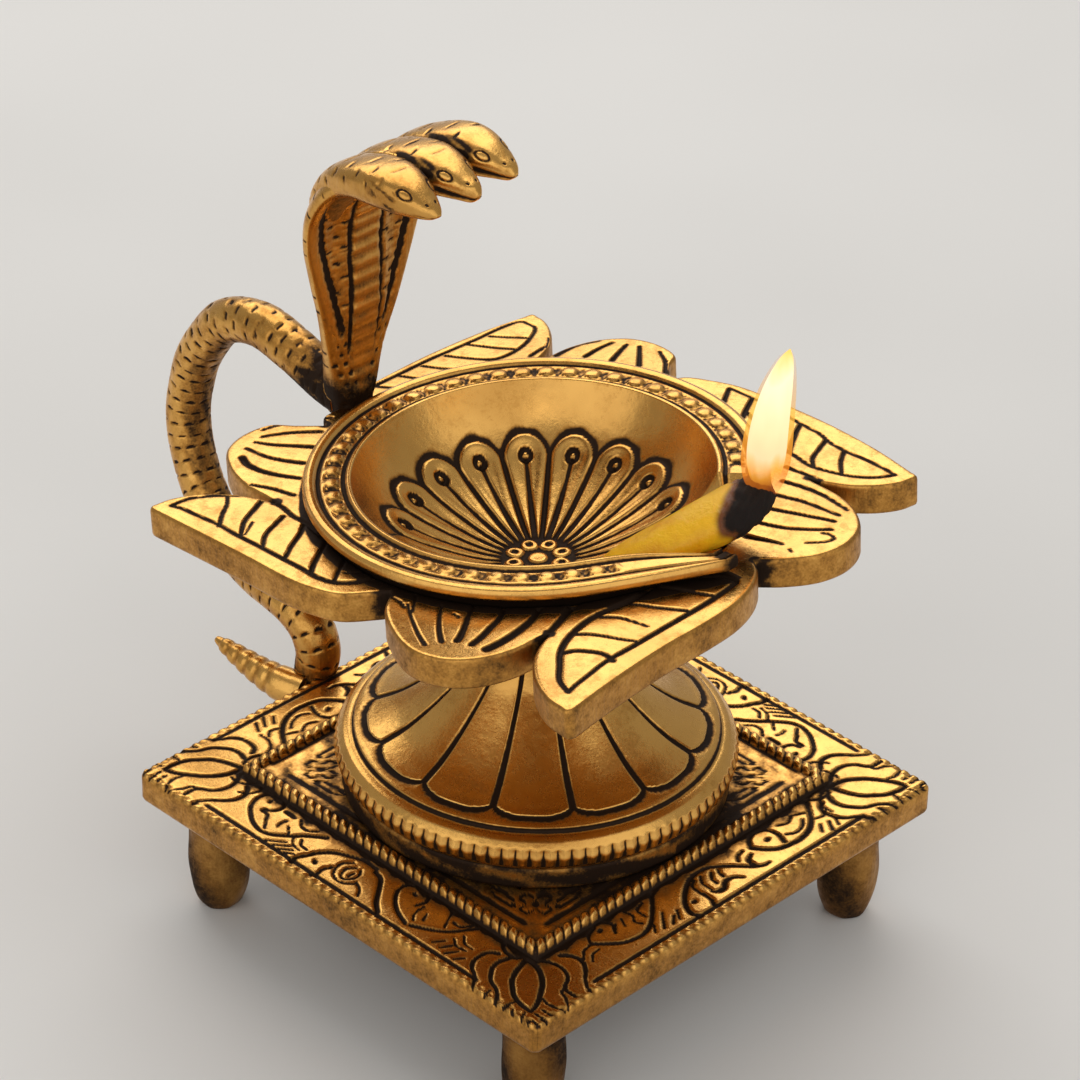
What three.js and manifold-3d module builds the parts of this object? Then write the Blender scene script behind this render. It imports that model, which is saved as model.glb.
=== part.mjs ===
// A brass serpent diya on a square chowki stand.
// Millimetres, +Z up, the wick's spout towards +X and the serpent handle on the -X side.
import * as THREE from 'three';
import { mergeVertices } from 'three/addons/utils/BufferGeometryUtils.js';
import Module from 'manifold-3d';

const wasm = await Module();
wasm.setup();

// Sizes of the chowki, the square stand
const plateSide = 100;
const plateThickness = 6.2;
const plateCornerRadius = 1.6;
const plateEdgeRounding = 0.9;
const footHeight = 21.8;
const footRadius = 5.5;
const footInset = 10;
const spigotRadius = 2.5;
const spigotLength = 2.6;
const tierSide = 73.8;
const tierRise = 1.0;
const ropeWidth = 2.2;
const ropeRise = 2.0;

// Sizes of the pedestal
const plinthRadius = 34.5;
const plinthHeight = 4;
const gadroonBulge = 1.4;
const gadroonHeight = 6;
const ringGrooveRadius = 32.8;
const coneFootRadius = 28.6;
const neckRadius = 9.6;
const pedestalWall = 3;
const pedestalHeight = 37;
const fluteCount = 13;
const fluteTurn = 2;
const fluteDepth = 0.9;

// Sizes of the petal tray and the oil bowl
const trayDrop = 22;
const trayThickness = 5.75;
const trayEdgeRounding = 0.5;
const hubRadius = 11;
const bossRadius = 6.5;
const leafReach = 49.2;
const leafTipDrop = 45.4;
const roundPetalReach = 50.9;
const roundPetalOffset = 21;
const petalNotchRadius = 45.5;
const rimRadius = 39.6;
const rimHeight = 4;
const lipRadius = 31.1;
const bowlDepth = 17.5;
const bowlRadius = 37.6;
const spoutReach = 45.4;
const lipSpread = 10.5;
const dishTiltX = 0.060;
const dishTiltY = 0.023;

// Sizes of the clamp that runs up the middle
const studRadius = 3;
const studTail = 1.5;
const studEngagement = 4.6;
const nutAcrossFlats = 10;
const nutHeight = 5;
const washerRadius = 8;
const washerThickness = 1.2;

// Sizes of the serpent and its two dowels
const bodyRadius = 4.2;
const loopReach = 91.7;
const hoodRise = 54.2;
const hoodHalfWidth = 14.4;
const hoodThickness = 5;
const headSpacing = 10;
const headLength = 23.4;
const headHalfWidth = 5.1;
const dowelRadius = 1.2;
const dowelLength = 12;
const footDowelBite = 4;

// Sizes of the wick
const wickRadius = 3.8;
const wickLength = 33.5;

// Clearance between touching pieces, and how finely round pieces are faceted
const seatGap = 0.3;
const roundSegments = 48;
const smallSegments = 16;

const plateTop = footHeight + plateThickness;
const plateUnderside = footHeight;
const plateHalf = plateSide / 2;
const tierTop = plateTop + tierRise;
const pedestalBase = tierTop + seatGap;
const seatHeight = pedestalBase + pedestalHeight;
const tau = Math.PI * 2;

const brass = { color: 0xb98a3e, roughness: 0.32, metalness: 1 };
const agedBrass = { color: 0x7d5a2a, roughness: 0.5, metalness: 1 };
const screwBrass = { color: 0xa98446, roughness: 0.4, metalness: 1 };
const cotton = { color: 0xd9a21c, roughness: 0.55, metalness: 0 };

// Helpers

// Welds a geometry's corners, drops empty triangles and turns its faces outwards
function closed(geometry) {
  const bare = geometry.clone();
  bare.deleteAttribute('normal');
  bare.deleteAttribute('uv');
  const welded = mergeVertices(bare, 1e-4);
  const position = welded.attributes.position;
  const a = new THREE.Vector3();
  const b = new THREE.Vector3();
  const c = new THREE.Vector3();
  const kept = [];
  let volume = 0;
  for (let i = 0; i < welded.index.count; i += 3) {
    const corner = [0, 1, 2].map((k) => welded.index.getX(i + k));
    if (new Set(corner).size < 3) continue;
    a.fromBufferAttribute(position, corner[0]);
    b.fromBufferAttribute(position, corner[1]);
    c.fromBufferAttribute(position, corner[2]);
    volume += a.dot(b.cross(c));
    kept.push(corner);
  }
  const outward = volume > 0 ? kept : kept.map(([p, q, r]) => [p, r, q]);
  welded.setIndex(outward.flat());
  return welded;
}

// Turns a closed geometry into a solid for joining and cutting
function solid(geometry) {
  const shape = closed(geometry);
  return new wasm.Manifold(new wasm.Mesh({
    numProp: 3,
    vertProperties: new Float32Array(shape.attributes.position.array),
    triVerts: new Uint32Array(shape.index.array),
  }));
}

// Turns a solid back into a geometry
function shell(manifold) {
  const mesh = manifold.getMesh();
  const geometry = new THREE.BufferGeometry();
  geometry.setAttribute('position', new THREE.BufferAttribute(new Float32Array(mesh.vertProperties), 3));
  geometry.setIndex(new THREE.BufferAttribute(new Uint32Array(mesh.triVerts), 1));
  return geometry;
}

function piece(name, geometry, look) {
  const bare = geometry.clone();
  bare.computeVertexNormals();
  const mesh = new THREE.Mesh(bare, new THREE.MeshStandardMaterial(look));
  mesh.name = name;
  return mesh;
}

// A turned piece, from radius and height pairs that start and end on the axis or close on themselves
function turned(profile, segments = roundSegments) {
  const points = profile.map(([radius, height]) => new THREE.Vector2(radius, height));
  return new THREE.LatheGeometry(points, segments).rotateX(Math.PI / 2);
}

function upright(radius, bottom, top, segments = smallSegments) {
  return new THREE.CylinderGeometry(radius, radius, top - bottom, segments)
    .rotateX(Math.PI / 2)
    .translate(0, 0, (bottom + top) / 2);
}

function roundedSquare(half, cornerRadius) {
  const shape = new THREE.Shape();
  const flat = half - cornerRadius;
  for (let corner = 0; corner < 4; corner += 1) {
    const turn = (corner * Math.PI) / 2;
    const x = flat * Math.SQRT2 * Math.cos(turn + Math.PI / 4);
    const y = flat * Math.SQRT2 * Math.sin(turn + Math.PI / 4);
    shape.absarc(x, y, cornerRadius, turn, turn + Math.PI / 2, false);
  }
  shape.closePath();
  return shape;
}

// A slab with rounded edges whose outline is the given shape, from one height to another
function slab(shape, bottom, top, rounding, curveSegments = 4) {
  const geometry = new THREE.ExtrudeGeometry(shape, {
    depth: top - bottom - 2 * rounding,
    bevelEnabled: rounding > 0,
    bevelSize: rounding,
    bevelOffset: -rounding,
    bevelThickness: rounding,
    bevelSegments: 1,
    curveSegments,
  });
  return geometry.translate(0, 0, bottom + rounding);
}

// A long body along a curve. Each station gives a place, a half width across and a half
// thickness, and how far the section's two sides bend forward.
function lofted(stations, around, along) {
  const curve = new THREE.CatmullRomCurve3(stations.map(({ at }) => new THREE.Vector3(...at)));
  const sizeAt = (key, t) => {
    const place = t * (stations.length - 1);
    const low = Math.min(Math.floor(place), stations.length - 2);
    const ease = THREE.MathUtils.smoothstep(place - low, 0, 1);
    return THREE.MathUtils.lerp(stations[low][key], stations[low + 1][key], ease);
  };
  const geometry = new THREE.CylinderGeometry(1, 1, 1, around, along);
  const position = geometry.attributes.position;
  const across = new THREE.Vector3();
  const front = new THREE.Vector3();
  for (let i = 0; i < position.count; i += 1) {
    const t = position.getY(i) + 0.5;
    const tangent = curve.getTangent(t);
    across.set(0, 1, 0).addScaledVector(tangent, -tangent.y).normalize();
    front.crossVectors(across, tangent);
    const sideways = position.getX(i);
    const point = curve.getPoint(t)
      .addScaledVector(across, sideways * sizeAt('wide', t))
      .addScaledVector(front, position.getZ(i) * sizeAt('thick', t) + sideways ** 2 * sizeAt('bend', t));
    position.setXYZ(i, point.x, point.y, point.z);
  }
  return geometry;
}

const station = (x, y, z, wide, thick = wide, bend = 0) => ({ at: [x, y, z], wide, thick, bend });

// The dish leans back a little on its seat, so the tray, the bowl and the wick share a tilted frame
const dishNormal = new THREE.Vector3(-dishTiltX, -dishTiltY, 1).normalize();
const dish = new THREE.Group();
dish.position.set(0, 0, seatHeight);
dish.quaternion.setFromUnitVectors(new THREE.Vector3(0, 0, 1), dishNormal);
dish.updateMatrix();
const trayTop = trayDrop;
const trayUnderside = trayTop - trayThickness;
const rimTop = trayTop + rimHeight;
const bowlFloor = rimTop - bowlDepth;
const bossBottom = seatGap + 1.7;

// Chowki plate: a slab with a raised square tier, a rope border, foot sockets and bores
const footPlace = plateHalf - footInset;
const footCentres = {
  front_left: [-footPlace, -footPlace],
  front_right: [footPlace, -footPlace],
  back_left: [-footPlace, footPlace],
  back_right: [footPlace, footPlace],
};
const serpentFootY = -5;
const footDowelHeight = plateTop - plateThickness / 2;
const footDowelMiddle = -plateHalf - footDowelBite + dowelLength / 2;

// A bore or dowel along X that starts inside the plate and ends inside the serpent's foot
function footDowel(radius, extra) {
  const length = dowelLength + 2 * extra;
  return new THREE.CylinderGeometry(radius, radius, length, 12)
    .rotateZ(Math.PI / 2)
    .translate(footDowelMiddle, serpentFootY, footDowelHeight);
}

function chowkiPlate() {
  const ropeInner = tierSide / 2 - ropeWidth;
  const border = roundedSquare(tierSide / 2, ropeWidth / 2);
  border.holes.push(new THREE.Path(roundedSquare(ropeInner, 0.4).getPoints(2)));
  const slabTop = plateTop + plateEdgeRounding;
  let plate = solid(slab(roundedSquare(plateHalf, plateCornerRadius), plateUnderside, plateTop, plateEdgeRounding))
    .add(solid(slab(roundedSquare(tierSide / 2 - ropeWidth / 2, 1), plateTop - 1, tierTop, 0)))
    .add(solid(slab(border, plateTop - 1, plateTop + ropeRise, ropeWidth / 4)))
    .subtract(solid(upright(studRadius + seatGap, plateUnderside - 1, slabTop + ropeRise)));
  for (const [x, y] of Object.values(footCentres)) {
    const socket = upright(spigotRadius + seatGap, plateUnderside - 1, plateUnderside + spigotLength);
    plate = plate.subtract(solid(socket.translate(x, y, 0)));
  }
  plate = plate.subtract(solid(footDowel(dowelRadius + seatGap, seatGap)));
  return shell(plate);
}

// Foot: a turned stub with a spigot that seats in the plate
function foot() {
  const shoulder = footHeight - seatGap;
  return closed(turned([
    [0, 0],
    [footRadius * 0.58, 0],
    [footRadius * 0.8, footHeight * 0.08],
    [footRadius * 0.94, footHeight * 0.22],
    [footRadius, footHeight * 0.42],
    [footRadius * 0.98, footHeight * 0.7],
    [footRadius * 0.98, shoulder],
    [spigotRadius, shoulder],
    [spigotRadius, footHeight + spigotLength - seatGap],
    [0, footHeight + spigotLength - seatGap],
  ], smallSegments));
}

// Pedestal: a hollow bell with a gadrooned foot, a fluted cone and a slanted seat for the dish
function pedestal() {
  const gadroonTop = plinthHeight + gadroonHeight;
  const coneFoot = gadroonTop + 2.6;
  const boreRadius = studRadius + seatGap;
  const outside = [
    [plinthRadius, 0],
    [plinthRadius, plinthHeight],
    [plinthRadius + gadroonBulge * 0.75, plinthHeight + gadroonHeight * 0.2],
    [plinthRadius + gadroonBulge, plinthHeight + gadroonHeight * 0.5],
    [plinthRadius + gadroonBulge * 0.5, plinthHeight + gadroonHeight * 0.85],
    [ringGrooveRadius + 0.9, gadroonTop],
    [ringGrooveRadius, gadroonTop + 0.2],
    [ringGrooveRadius - 0.4, gadroonTop + 1],
    [coneFootRadius + 1.4, coneFoot - 0.5],
    [coneFootRadius, coneFoot],
    [coneFootRadius * 0.87, coneFoot + 1.8],
    [coneFootRadius * 0.73, coneFoot + 4.6],
    [coneFootRadius * 0.56, coneFoot + 9],
    [neckRadius + 2.6, coneFoot + 13.4],
    [neckRadius + 0.6, coneFoot + 18],
    [neckRadius, coneFoot + 21],
    [neckRadius + 0.6, pedestalHeight],
  ];
  const inside = [
    [boreRadius, pedestalHeight],
    [boreRadius, coneFoot + 16],
    [neckRadius - pedestalWall * 0.4, coneFoot + 11],
    [coneFootRadius * 0.56 - pedestalWall, coneFoot + 7],
    [coneFootRadius * 0.73 - pedestalWall, coneFoot + 2.2],
    [coneFootRadius - pedestalWall, coneFoot - 2.4],
    [plinthRadius - pedestalWall, plinthHeight],
    [plinthRadius - pedestalWall, 0],
  ];
  const geometry = turned([...outside, ...inside, outside[0]], fluteCount * 4);
  geometry.rotateZ(THREE.MathUtils.degToRad(fluteTurn));
  const position = geometry.attributes.position;
  const fluteTop = coneFoot + 16;
  const fluteStart = THREE.MathUtils.degToRad(fluteTurn - 90);
  for (let i = 0; i < position.count; i += 1) {
    const x = position.getX(i);
    const y = position.getY(i);
    const z = position.getZ(i);
    const radius = Math.hypot(x, y);
    const angle = Math.atan2(y, x);
    const onCone = z > coneFoot + 0.5 && z < fluteTop && radius > neckRadius;
    const outer = radius > coneFootRadius * 0.52 || z > coneFoot + 12;
    const wave = Math.abs(Math.sin((fluteCount / 2) * (angle - fluteStart)));
    const groove = onCone && outer ? fluteDepth * (1 - wave) : 0;
    const share = groove > 0 ? (radius - groove) / radius : 1;
    const lean = THREE.MathUtils.smoothstep(z, fluteTop, pedestalHeight);
    const lift = lean * (dishTiltX * x + dishTiltY * y);
    position.setXYZ(i, x * share, y * share, z + lift);
  }
  return closed(geometry.translate(0, 0, pedestalBase));
}

// Petal tray: four pointed leaves and four round petals around a cup that holds the oil bowl.
// The petals are cut by hand, so the four pairs differ a little from the named sizes: the leaf's
// side, its tip, its heel beside the round petal, and the round petal's reach.
const petalCuts = [
  { leaf: 0.7, tip: [2.6, 0.9], heel: [42.6, 7.2], round: -0.2 },
  { leaf: 0.1, tip: [-3, 0], heel: [42.7, 10.5], round: -0.5 },
  { leaf: 0.4, tip: [-2.6, -1.2], heel: [44.7, 9.2], round: 2.3 },
  { leaf: -0.9, tip: [-0.6, 1.9], heel: [39.5, 4.2], round: -1.1 },
];
const petalShift = new THREE.Vector2(1.3, 0.5);

function petalOutline(grow = 0) {
  const outline = new THREE.Shape();
  const notch = new THREE.Vector2(petalNotchRadius, 0).rotateAround(new THREE.Vector2(), 0.809);
  petalCuts.forEach(({ leaf, tip, heel, round }, copy) => {
    const turn = (copy * Math.PI) / 2;
    const place = ([x, y]) => {
      const scale = (Math.hypot(x, y) + grow) / Math.hypot(x, y);
      return new THREE.Vector2(x * scale, y * scale).rotateAround(new THREE.Vector2(), turn).add(petalShift);
    };
    const side = leafReach + leaf;
    const [heelX, heelY] = heel;
    const corner = [leafReach + tip[0], -leafTipDrop - tip[1]];
    const reach = roundPetalReach + round;
    const middle = roundPetalOffset;
    const before = place([corner[0] - 1.8, corner[1] + 0.5]);
    const after = place([corner[0] - 0.05, corner[1] + 1.9]);
    if (copy === 0) outline.moveTo(before.x, before.y);
    else outline.lineTo(before.x, before.y);
    const bend = place(corner);
    outline.quadraticCurveTo(bend.x, bend.y, after.x, after.y);
    outline.splineThru([
      [side + 0.4 * (corner[0] - side), 0.75 * corner[1]],
      [side, 0.48 * corner[1]],
      [side + 0.1, 0.24 * corner[1]],
      [side - 0.4, heelY - 11.5],
      [side - 2.2, heelY - 5.8],
      [heelX + 2.4, heelY - 1.8],
      heel,
    ].map(place));
    outline.splineThru([
      [THREE.MathUtils.lerp(heelX, reach, 0.46), heelY + 3.4],
      [reach - 1, middle - 5.5],
      [reach, middle],
      [reach - 1.7, middle + 5.3],
      [THREE.MathUtils.lerp(notch.x, reach, 0.69), middle + 9.2],
      [THREE.MathUtils.lerp(notch.x, reach, 0.4), middle + 11.3],
      [notch.x + 2.1, notch.y - 0.2],
      notch.toArray(),
    ].map(place));
    const next = petalCuts[(copy + 1) % petalCuts.length];
    const nextTip = [leafTipDrop + next.tip[1], leafReach + next.tip[0]];
    outline.splineThru([[0.27, 0.08], [0.52, 0.21], [0.77, 0.44], [0.93, 0.7]].map(([u, v]) => place([
      THREE.MathUtils.lerp(notch.x, nextTip[0], u),
      THREE.MathUtils.lerp(notch.y, nextTip[1], v),
    ])));
  });
  return outline;
}

const neckDowelPlace = [3.2 - leafReach, 0.6];
const neckTrayHeight = seatHeight + trayTop + dishTiltX * neckDowelPlace[0];
const neckPlace = [neckDowelPlace[0] - 2, 0, neckTrayHeight + 0.65];

function neckDowel(radius, extra) {
  const middle = trayTop - 1;
  const [x, y] = neckDowelPlace;
  const half = dowelLength / 2 + extra;
  return upright(radius, middle - half + 1.6, middle + half, 12).translate(x, y, 0);
}

// The oil bowl's outer wall below its rim, which the tray's cup follows
const bowlWall = [
  [bowlRadius, trayTop + 1.4],
  [bowlRadius, trayTop - 0.8],
  [bowlRadius - 3.2, trayTop - 4.2],
  [bowlRadius - 7.8, trayTop - 7.4],
  [bowlRadius - 13.1, trayTop - 10.2],
  [bowlRadius - 19.1, trayTop - 12.8],
  [bossRadius + 3.5, trayTop - 15.4],
  [bossRadius, trayTop - 16.1],
];

function petalTray() {
  const cup = turned([
    [0, seatGap],
    [hubRadius, seatGap],
    [hubRadius, seatGap + 2.6],
    [hubRadius + 1, trayTop - 17.8],
    [bowlRadius - 18.1, trayTop - 15.2],
    [bowlRadius - 11.6, trayTop - 12.4],
    [bowlRadius - 5.8, trayTop - 9.6],
    [bowlRadius - 1.6, trayUnderside],
    [bowlRadius, trayUnderside + 1],
    [0, trayUnderside + 1],
  ]);
  const room = turned([
    [0, -1],
    [bossRadius + seatGap, -1],
    ...[...bowlWall].reverse().map(([radius, height]) => [radius + seatGap, height - seatGap]),
    [0, trayTop + 1.4],
  ]);
  return shell(solid(slab(petalOutline(), trayUnderside, trayTop, trayEdgeRounding, 3))
    .add(solid(cup))
    .subtract(solid(room))
    .subtract(solid(neckDowel(dowelRadius + seatGap, 2 * seatGap))));
}

// Oil bowl: a turned bowl whose rim flares on one side and drops to a mouth for the wick
const mouthStart = 3;
const mouthEnd = 39;
const flareStart = -35;

function oilBowl() {
  const threadRadius = studRadius + seatGap + studEngagement * Math.hypot(dishTiltX, dishTiltY);
  const threadTop = bossBottom + studEngagement + seatGap;
  const underside = [
    [0, threadTop],
    [threadRadius, threadTop],
    [threadRadius, bossBottom],
    [bossRadius, bossBottom],
    ...[...bowlWall].reverse().slice(0, -1),
  ];
  const rim = [
    [bowlRadius, trayTop + 1.4],
    [rimRadius - 0.3, rimTop - 2.2],
    [rimRadius, rimTop - 1],
    [rimRadius - 1.1, rimTop + 0.1],
    [rimRadius - 2.5, rimTop - 0.6],
    [rimRadius - 3.2, rimTop - 0.1],
    [lipRadius + 2.1, rimTop - 0.1],
    [lipRadius + 1.4, rimTop - 0.6],
    [lipRadius + 0.7, rimTop],
    [lipRadius, rimTop - 0.4],
  ];
  const hollow = [
    [lipRadius - 0.8, rimTop - 2.2],
    [lipRadius - 2.6, rimTop - 5.1],
    [lipRadius - 5.1, rimTop - 8],
    [lipRadius - 9.1, rimTop - 11.2],
    [lipRadius - 15.1, rimTop - 14.5],
    [lipRadius - 23, bowlFloor + 0.5],
    [0, bowlFloor],
  ];
  const profile = [...underside, ...rim, ...hollow];
  const geometry = turned(profile);
  const position = geometry.attributes.position;
  const ramp = (radius) => trayTop - 5.6 + (radius - 25) * 0.5;
  for (let i = 0; i < position.count; i += 1) {
    const row = (i % profile.length) - underside.length;
    const angle = Math.atan2(position.getY(i), position.getX(i));
    const degrees = THREE.MathUtils.radToDeg(angle);
    if (row < 0 || degrees <= flareStart || degrees >= mouthEnd) continue;
    let [radius, height] = profile[row + underside.length];
    const inMouth = degrees > mouthStart;
    const flare = inMouth ? 1 : THREE.MathUtils.clamp((degrees - flareStart) / -flareStart, 0, 1);
    const lipOut = inMouth ? lipRadius + 0.8 : lipRadius + lipSpread * flare ** 3;
    const ridgeOut = rimRadius + (spoutReach - rimRadius) * flare ** 2.4;
    const share = (radius - lipRadius) / (rimRadius - lipRadius);
    if (row >= rim.length) {
      const pull = Math.max(0, (radius - 20) / (lipRadius - 20));
      radius += (lipOut - lipRadius) * pull;
      const openness = THREE.MathUtils.smoothstep(flare, 0, 0.6) * (radius > 24.5 ? 1 : 0);
      height = THREE.MathUtils.lerp(height, ramp(radius), openness);
    } else if (inMouth && row < 3) {
      radius = bowlRadius;
      height = ramp(bowlRadius) - 0.1 * (3 - row);
    } else if (inMouth) {
      radius = THREE.MathUtils.lerp(bowlRadius - 0.3, lipOut, (row - 3) / (rim.length - 4));
      height = ramp(radius);
    } else if (row > 0) {
      radius = lipOut + (ridgeOut - lipOut) * share;
      if (row === 1) height = THREE.MathUtils.lerp(height, trayTop + 2 * seatGap, flare);
    }
    position.setXYZ(i, radius * Math.cos(angle), radius * Math.sin(angle), height);
  }
  return closed(geometry);
}

// Serpent handle: a body that loops up from the plate's edge, a spread hood and three heads
function serpent() {
  const r = bodyRadius;
  const [neckX, , neckZ] = neckPlace;
  const low = (x, y, z, ...sizes) => station(x, y, plateTop + z, ...sizes);
  const loop = (x, y, share, ...sizes) => station(x, y, plateTop + share * (neckZ - plateTop), ...sizes);
  const high = (x, y, share, ...sizes) => station(neckX + x, y, neckZ + share * hoodRise, ...sizes);
  const body = lofted([
    low(-plateHalf - 2.8, serpentFootY, -plateThickness, r * 0.93),
    low(-plateHalf - 2.2, serpentFootY, 0, r * 0.96),
    low(-plateHalf - 1.6, serpentFootY, 4.6, r),
    low(-plateHalf - 3.4, serpentFootY, 8.5, r),
    low(-plateHalf - 7.6, -4.9, 10.9, r),
    low(-plateHalf - 12.8, -4.6, 11.9, r),
    low(-plateHalf - 18.3, -4.1, 12.4, r),
    loop(17.5 - loopReach, -3.5, 0.237, r),
    loop(12.4 - loopReach, -2.9, 0.284, r),
    loop(8.3 - loopReach, -2.3, 0.334, r),
    loop(5.3 - loopReach, -1.8, 0.389, r),
    loop(2.9 - loopReach, -1.3, 0.451, r),
    loop(0.7 - loopReach, -0.8, 0.54, r),
    loop(-loopReach, -0.4, 0.636, r),
    loop(0.7 - loopReach, 0, 0.728, r),
    loop(2.3 - loopReach, 0, 0.82, r),
    loop(5.3 - loopReach, 0, 0.91, r),
    loop(11.1 - loopReach, 0, 1.025, r),
    loop(20.4 - loopReach, 0, 1.077, r),
    loop(29.2 - loopReach, 0, 1.053, r * 0.98),
    loop(neckX - 6.6, 0, 1.013, r),
    loop(neckX - 0.5, 0, 1, r * 1.05),
  ], 12, 54);
  const tail = lofted([
    low(-plateHalf - 1.2, -8.8, -3.2, 3.6),
    low(-plateHalf - 5.6, -10.2, -2.9, 3.3),
    low(-plateHalf - 10.6, -11, -2.3, 2.7),
    low(-plateHalf - 15.4, -11.4, -1.5, 2.1),
    low(-plateHalf - 20, -11.7, -0.6, 1.3),
    low(-plateHalf - 22, -11.8, -0.2, 0.5),
  ], 10, 10);
  const w = hoodHalfWidth;
  const t = hoodThickness / 2;
  const hood = lofted([
    high(-0.6, 0, -0.051, 3.6, 3.4, 0),
    high(-0.2, 0, 0.051, w * 0.34, t * 1.5, 0.2),
    high(0.1, 0, 0.179, w * 0.45, t * 1.15, 0.8),
    high(0.8, 0, 0.361, w * 0.64, t, 1.6),
    high(0.8, 0, 0.526, w * 0.82, t, 2.2),
    high(0.8, 0, 0.672, w * 0.95, t, 2.8),
    high(2.6, 0, 0.818, w, t, 2.6),
    high(7.2, 0, 0.934, w * 0.97, t * 1.1, 1.6),
    high(13.4, 0, 0.993, w * 0.85, t * 1.1, 0.6),
    high(19, 0, 1, w * 0.66, t, 0),
  ], 20, 27);
  let whole = solid(body).add(solid(tail)).add(solid(hood));
  for (const side of [-1, 0, 1]) {
    const h = headHalfWidth;
    const y = side * headSpacing;
    const tip = 8 + headLength;
    whole = whole.add(solid(lofted([
      high(7, y * 0.8, 0.92, h * 0.86, h * 0.6),
      high(tip - headLength * 0.76, y * 0.86, 0.982, h * 0.96, h * 0.78),
      high(tip - headLength * 0.5, y * 0.92, 1.009, h, h * 0.84),
      high(tip - headLength * 0.27, y * 0.96, 1.004, h * 0.82, h * 0.72),
      high(tip - headLength * 0.1, y, 0.987, h * 0.56, h * 0.5),
      high(tip, y, 0.974, h * 0.24, h * 0.22),
    ], 12, 10)));
  }
  const plateRoom = slab(roundedSquare(plateHalf + seatGap, plateCornerRadius), plateUnderside - seatGap,
    plateTop + seatGap, plateEdgeRounding);
  const trayRoom = slab(petalOutline(seatGap + 0.1), trayUnderside - seatGap, trayTop + seatGap, 0, 3);
  return shell(whole
    .subtract(solid(plateRoom))
    .subtract(solid(trayRoom.applyMatrix4(dish.matrix)))
    .subtract(solid(footDowel(dowelRadius + seatGap, seatGap)))
    .subtract(solid(neckDowel(dowelRadius + seatGap, 2 * seatGap).applyMatrix4(dish.matrix))));
}

// Clamp: a stud up the middle, with a washer and a nut under the plate
function clampPieces() {
  const washerTop = plateUnderside - seatGap;
  const washerBottom = washerTop - washerThickness;
  const nutTop = washerBottom - seatGap;
  const nutBottom = nutTop - nutHeight;
  const studTop = seatHeight + bossBottom + studEngagement;
  const ring = (outer, bottom, top, segments) => {
    const hole = studRadius + seatGap;
    return solid(upright(outer, bottom, top, segments))
      .subtract(solid(upright(hole, bottom - 1, top + 1, smallSegments)));
  };
  return {
    stud: closed(upright(studRadius, nutBottom - studTail, studTop)),
    washer: shell(ring(washerRadius, washerBottom, washerTop, 24)),
    nut: shell(ring(nutAcrossFlats / Math.sqrt(3), nutBottom, nutTop, 6)),
  };
}

// Wick: a tapered cotton roll that lies in the spout and stands out over the mouth
const wickTail = new THREE.Vector3(lipRadius * 0.646, lipRadius * -0.206, rimTop - bowlDepth * 0.566);
const wickDirection = new THREE.Vector3(0.578, 0.684, 0.444).normalize();

function wick() {
  const along = (share, radius) => {
    const place = wickTail.clone().addScaledVector(wickDirection, share * wickLength);
    return station(place.x, place.y, place.z, radius);
  };
  return closed(lofted([
    along(0, wickRadius * 0.3),
    along(0.14, wickRadius * 0.55),
    along(0.3, wickRadius * 0.72),
    along(0.5, wickRadius * 0.88),
    along(0.7, wickRadius * 0.97),
    along(0.88, wickRadius),
    along(1, wickRadius * 0.8),
  ], 12, 12));
}

// Assembly
const lamp = new THREE.Group();
const clamp = clampPieces();
lamp.add(piece('chowki_plate', chowkiPlate(), brass));
for (const [corner, [x, y]] of Object.entries(footCentres)) {
  const stub = piece(`foot_${corner}`, foot(), agedBrass);
  stub.position.set(x, y, 0);
  lamp.add(stub);
}
lamp.add(piece('pedestal', pedestal(), brass));
lamp.add(piece('centre_stud', clamp.stud, screwBrass));
lamp.add(piece('centre_washer', clamp.washer, screwBrass));
lamp.add(piece('centre_nut', clamp.nut, screwBrass));
lamp.add(piece('serpent_handle', serpent(), brass));
lamp.add(piece('foot_dowel', closed(footDowel(dowelRadius, 0)), screwBrass));
dish.add(piece('petal_tray', petalTray(), brass));
dish.add(piece('oil_bowl', oilBowl(), brass));
dish.add(piece('neck_dowel', closed(neckDowel(dowelRadius, 0)), screwBrass));
dish.add(piece('wick', wick(), cotton));
lamp.add(dish);

// The origin is the middle of the lamp's footprint, on the surface that it stands on
lamp.updateMatrixWorld(true);
const extent = new THREE.Box3().setFromObject(lamp, true);
const middle = extent.getCenter(new THREE.Vector3());
lamp.position.set(-middle.x, -middle.y, -extent.min.z);

export default lamp;
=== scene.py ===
"""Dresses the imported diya: chiselled brass with patina in its cuts, a ghee-soaked wick and its flame."""
import functools
import math

import bpy
import numpy as np
from mathutils import Matrix, Vector, geometry


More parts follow.
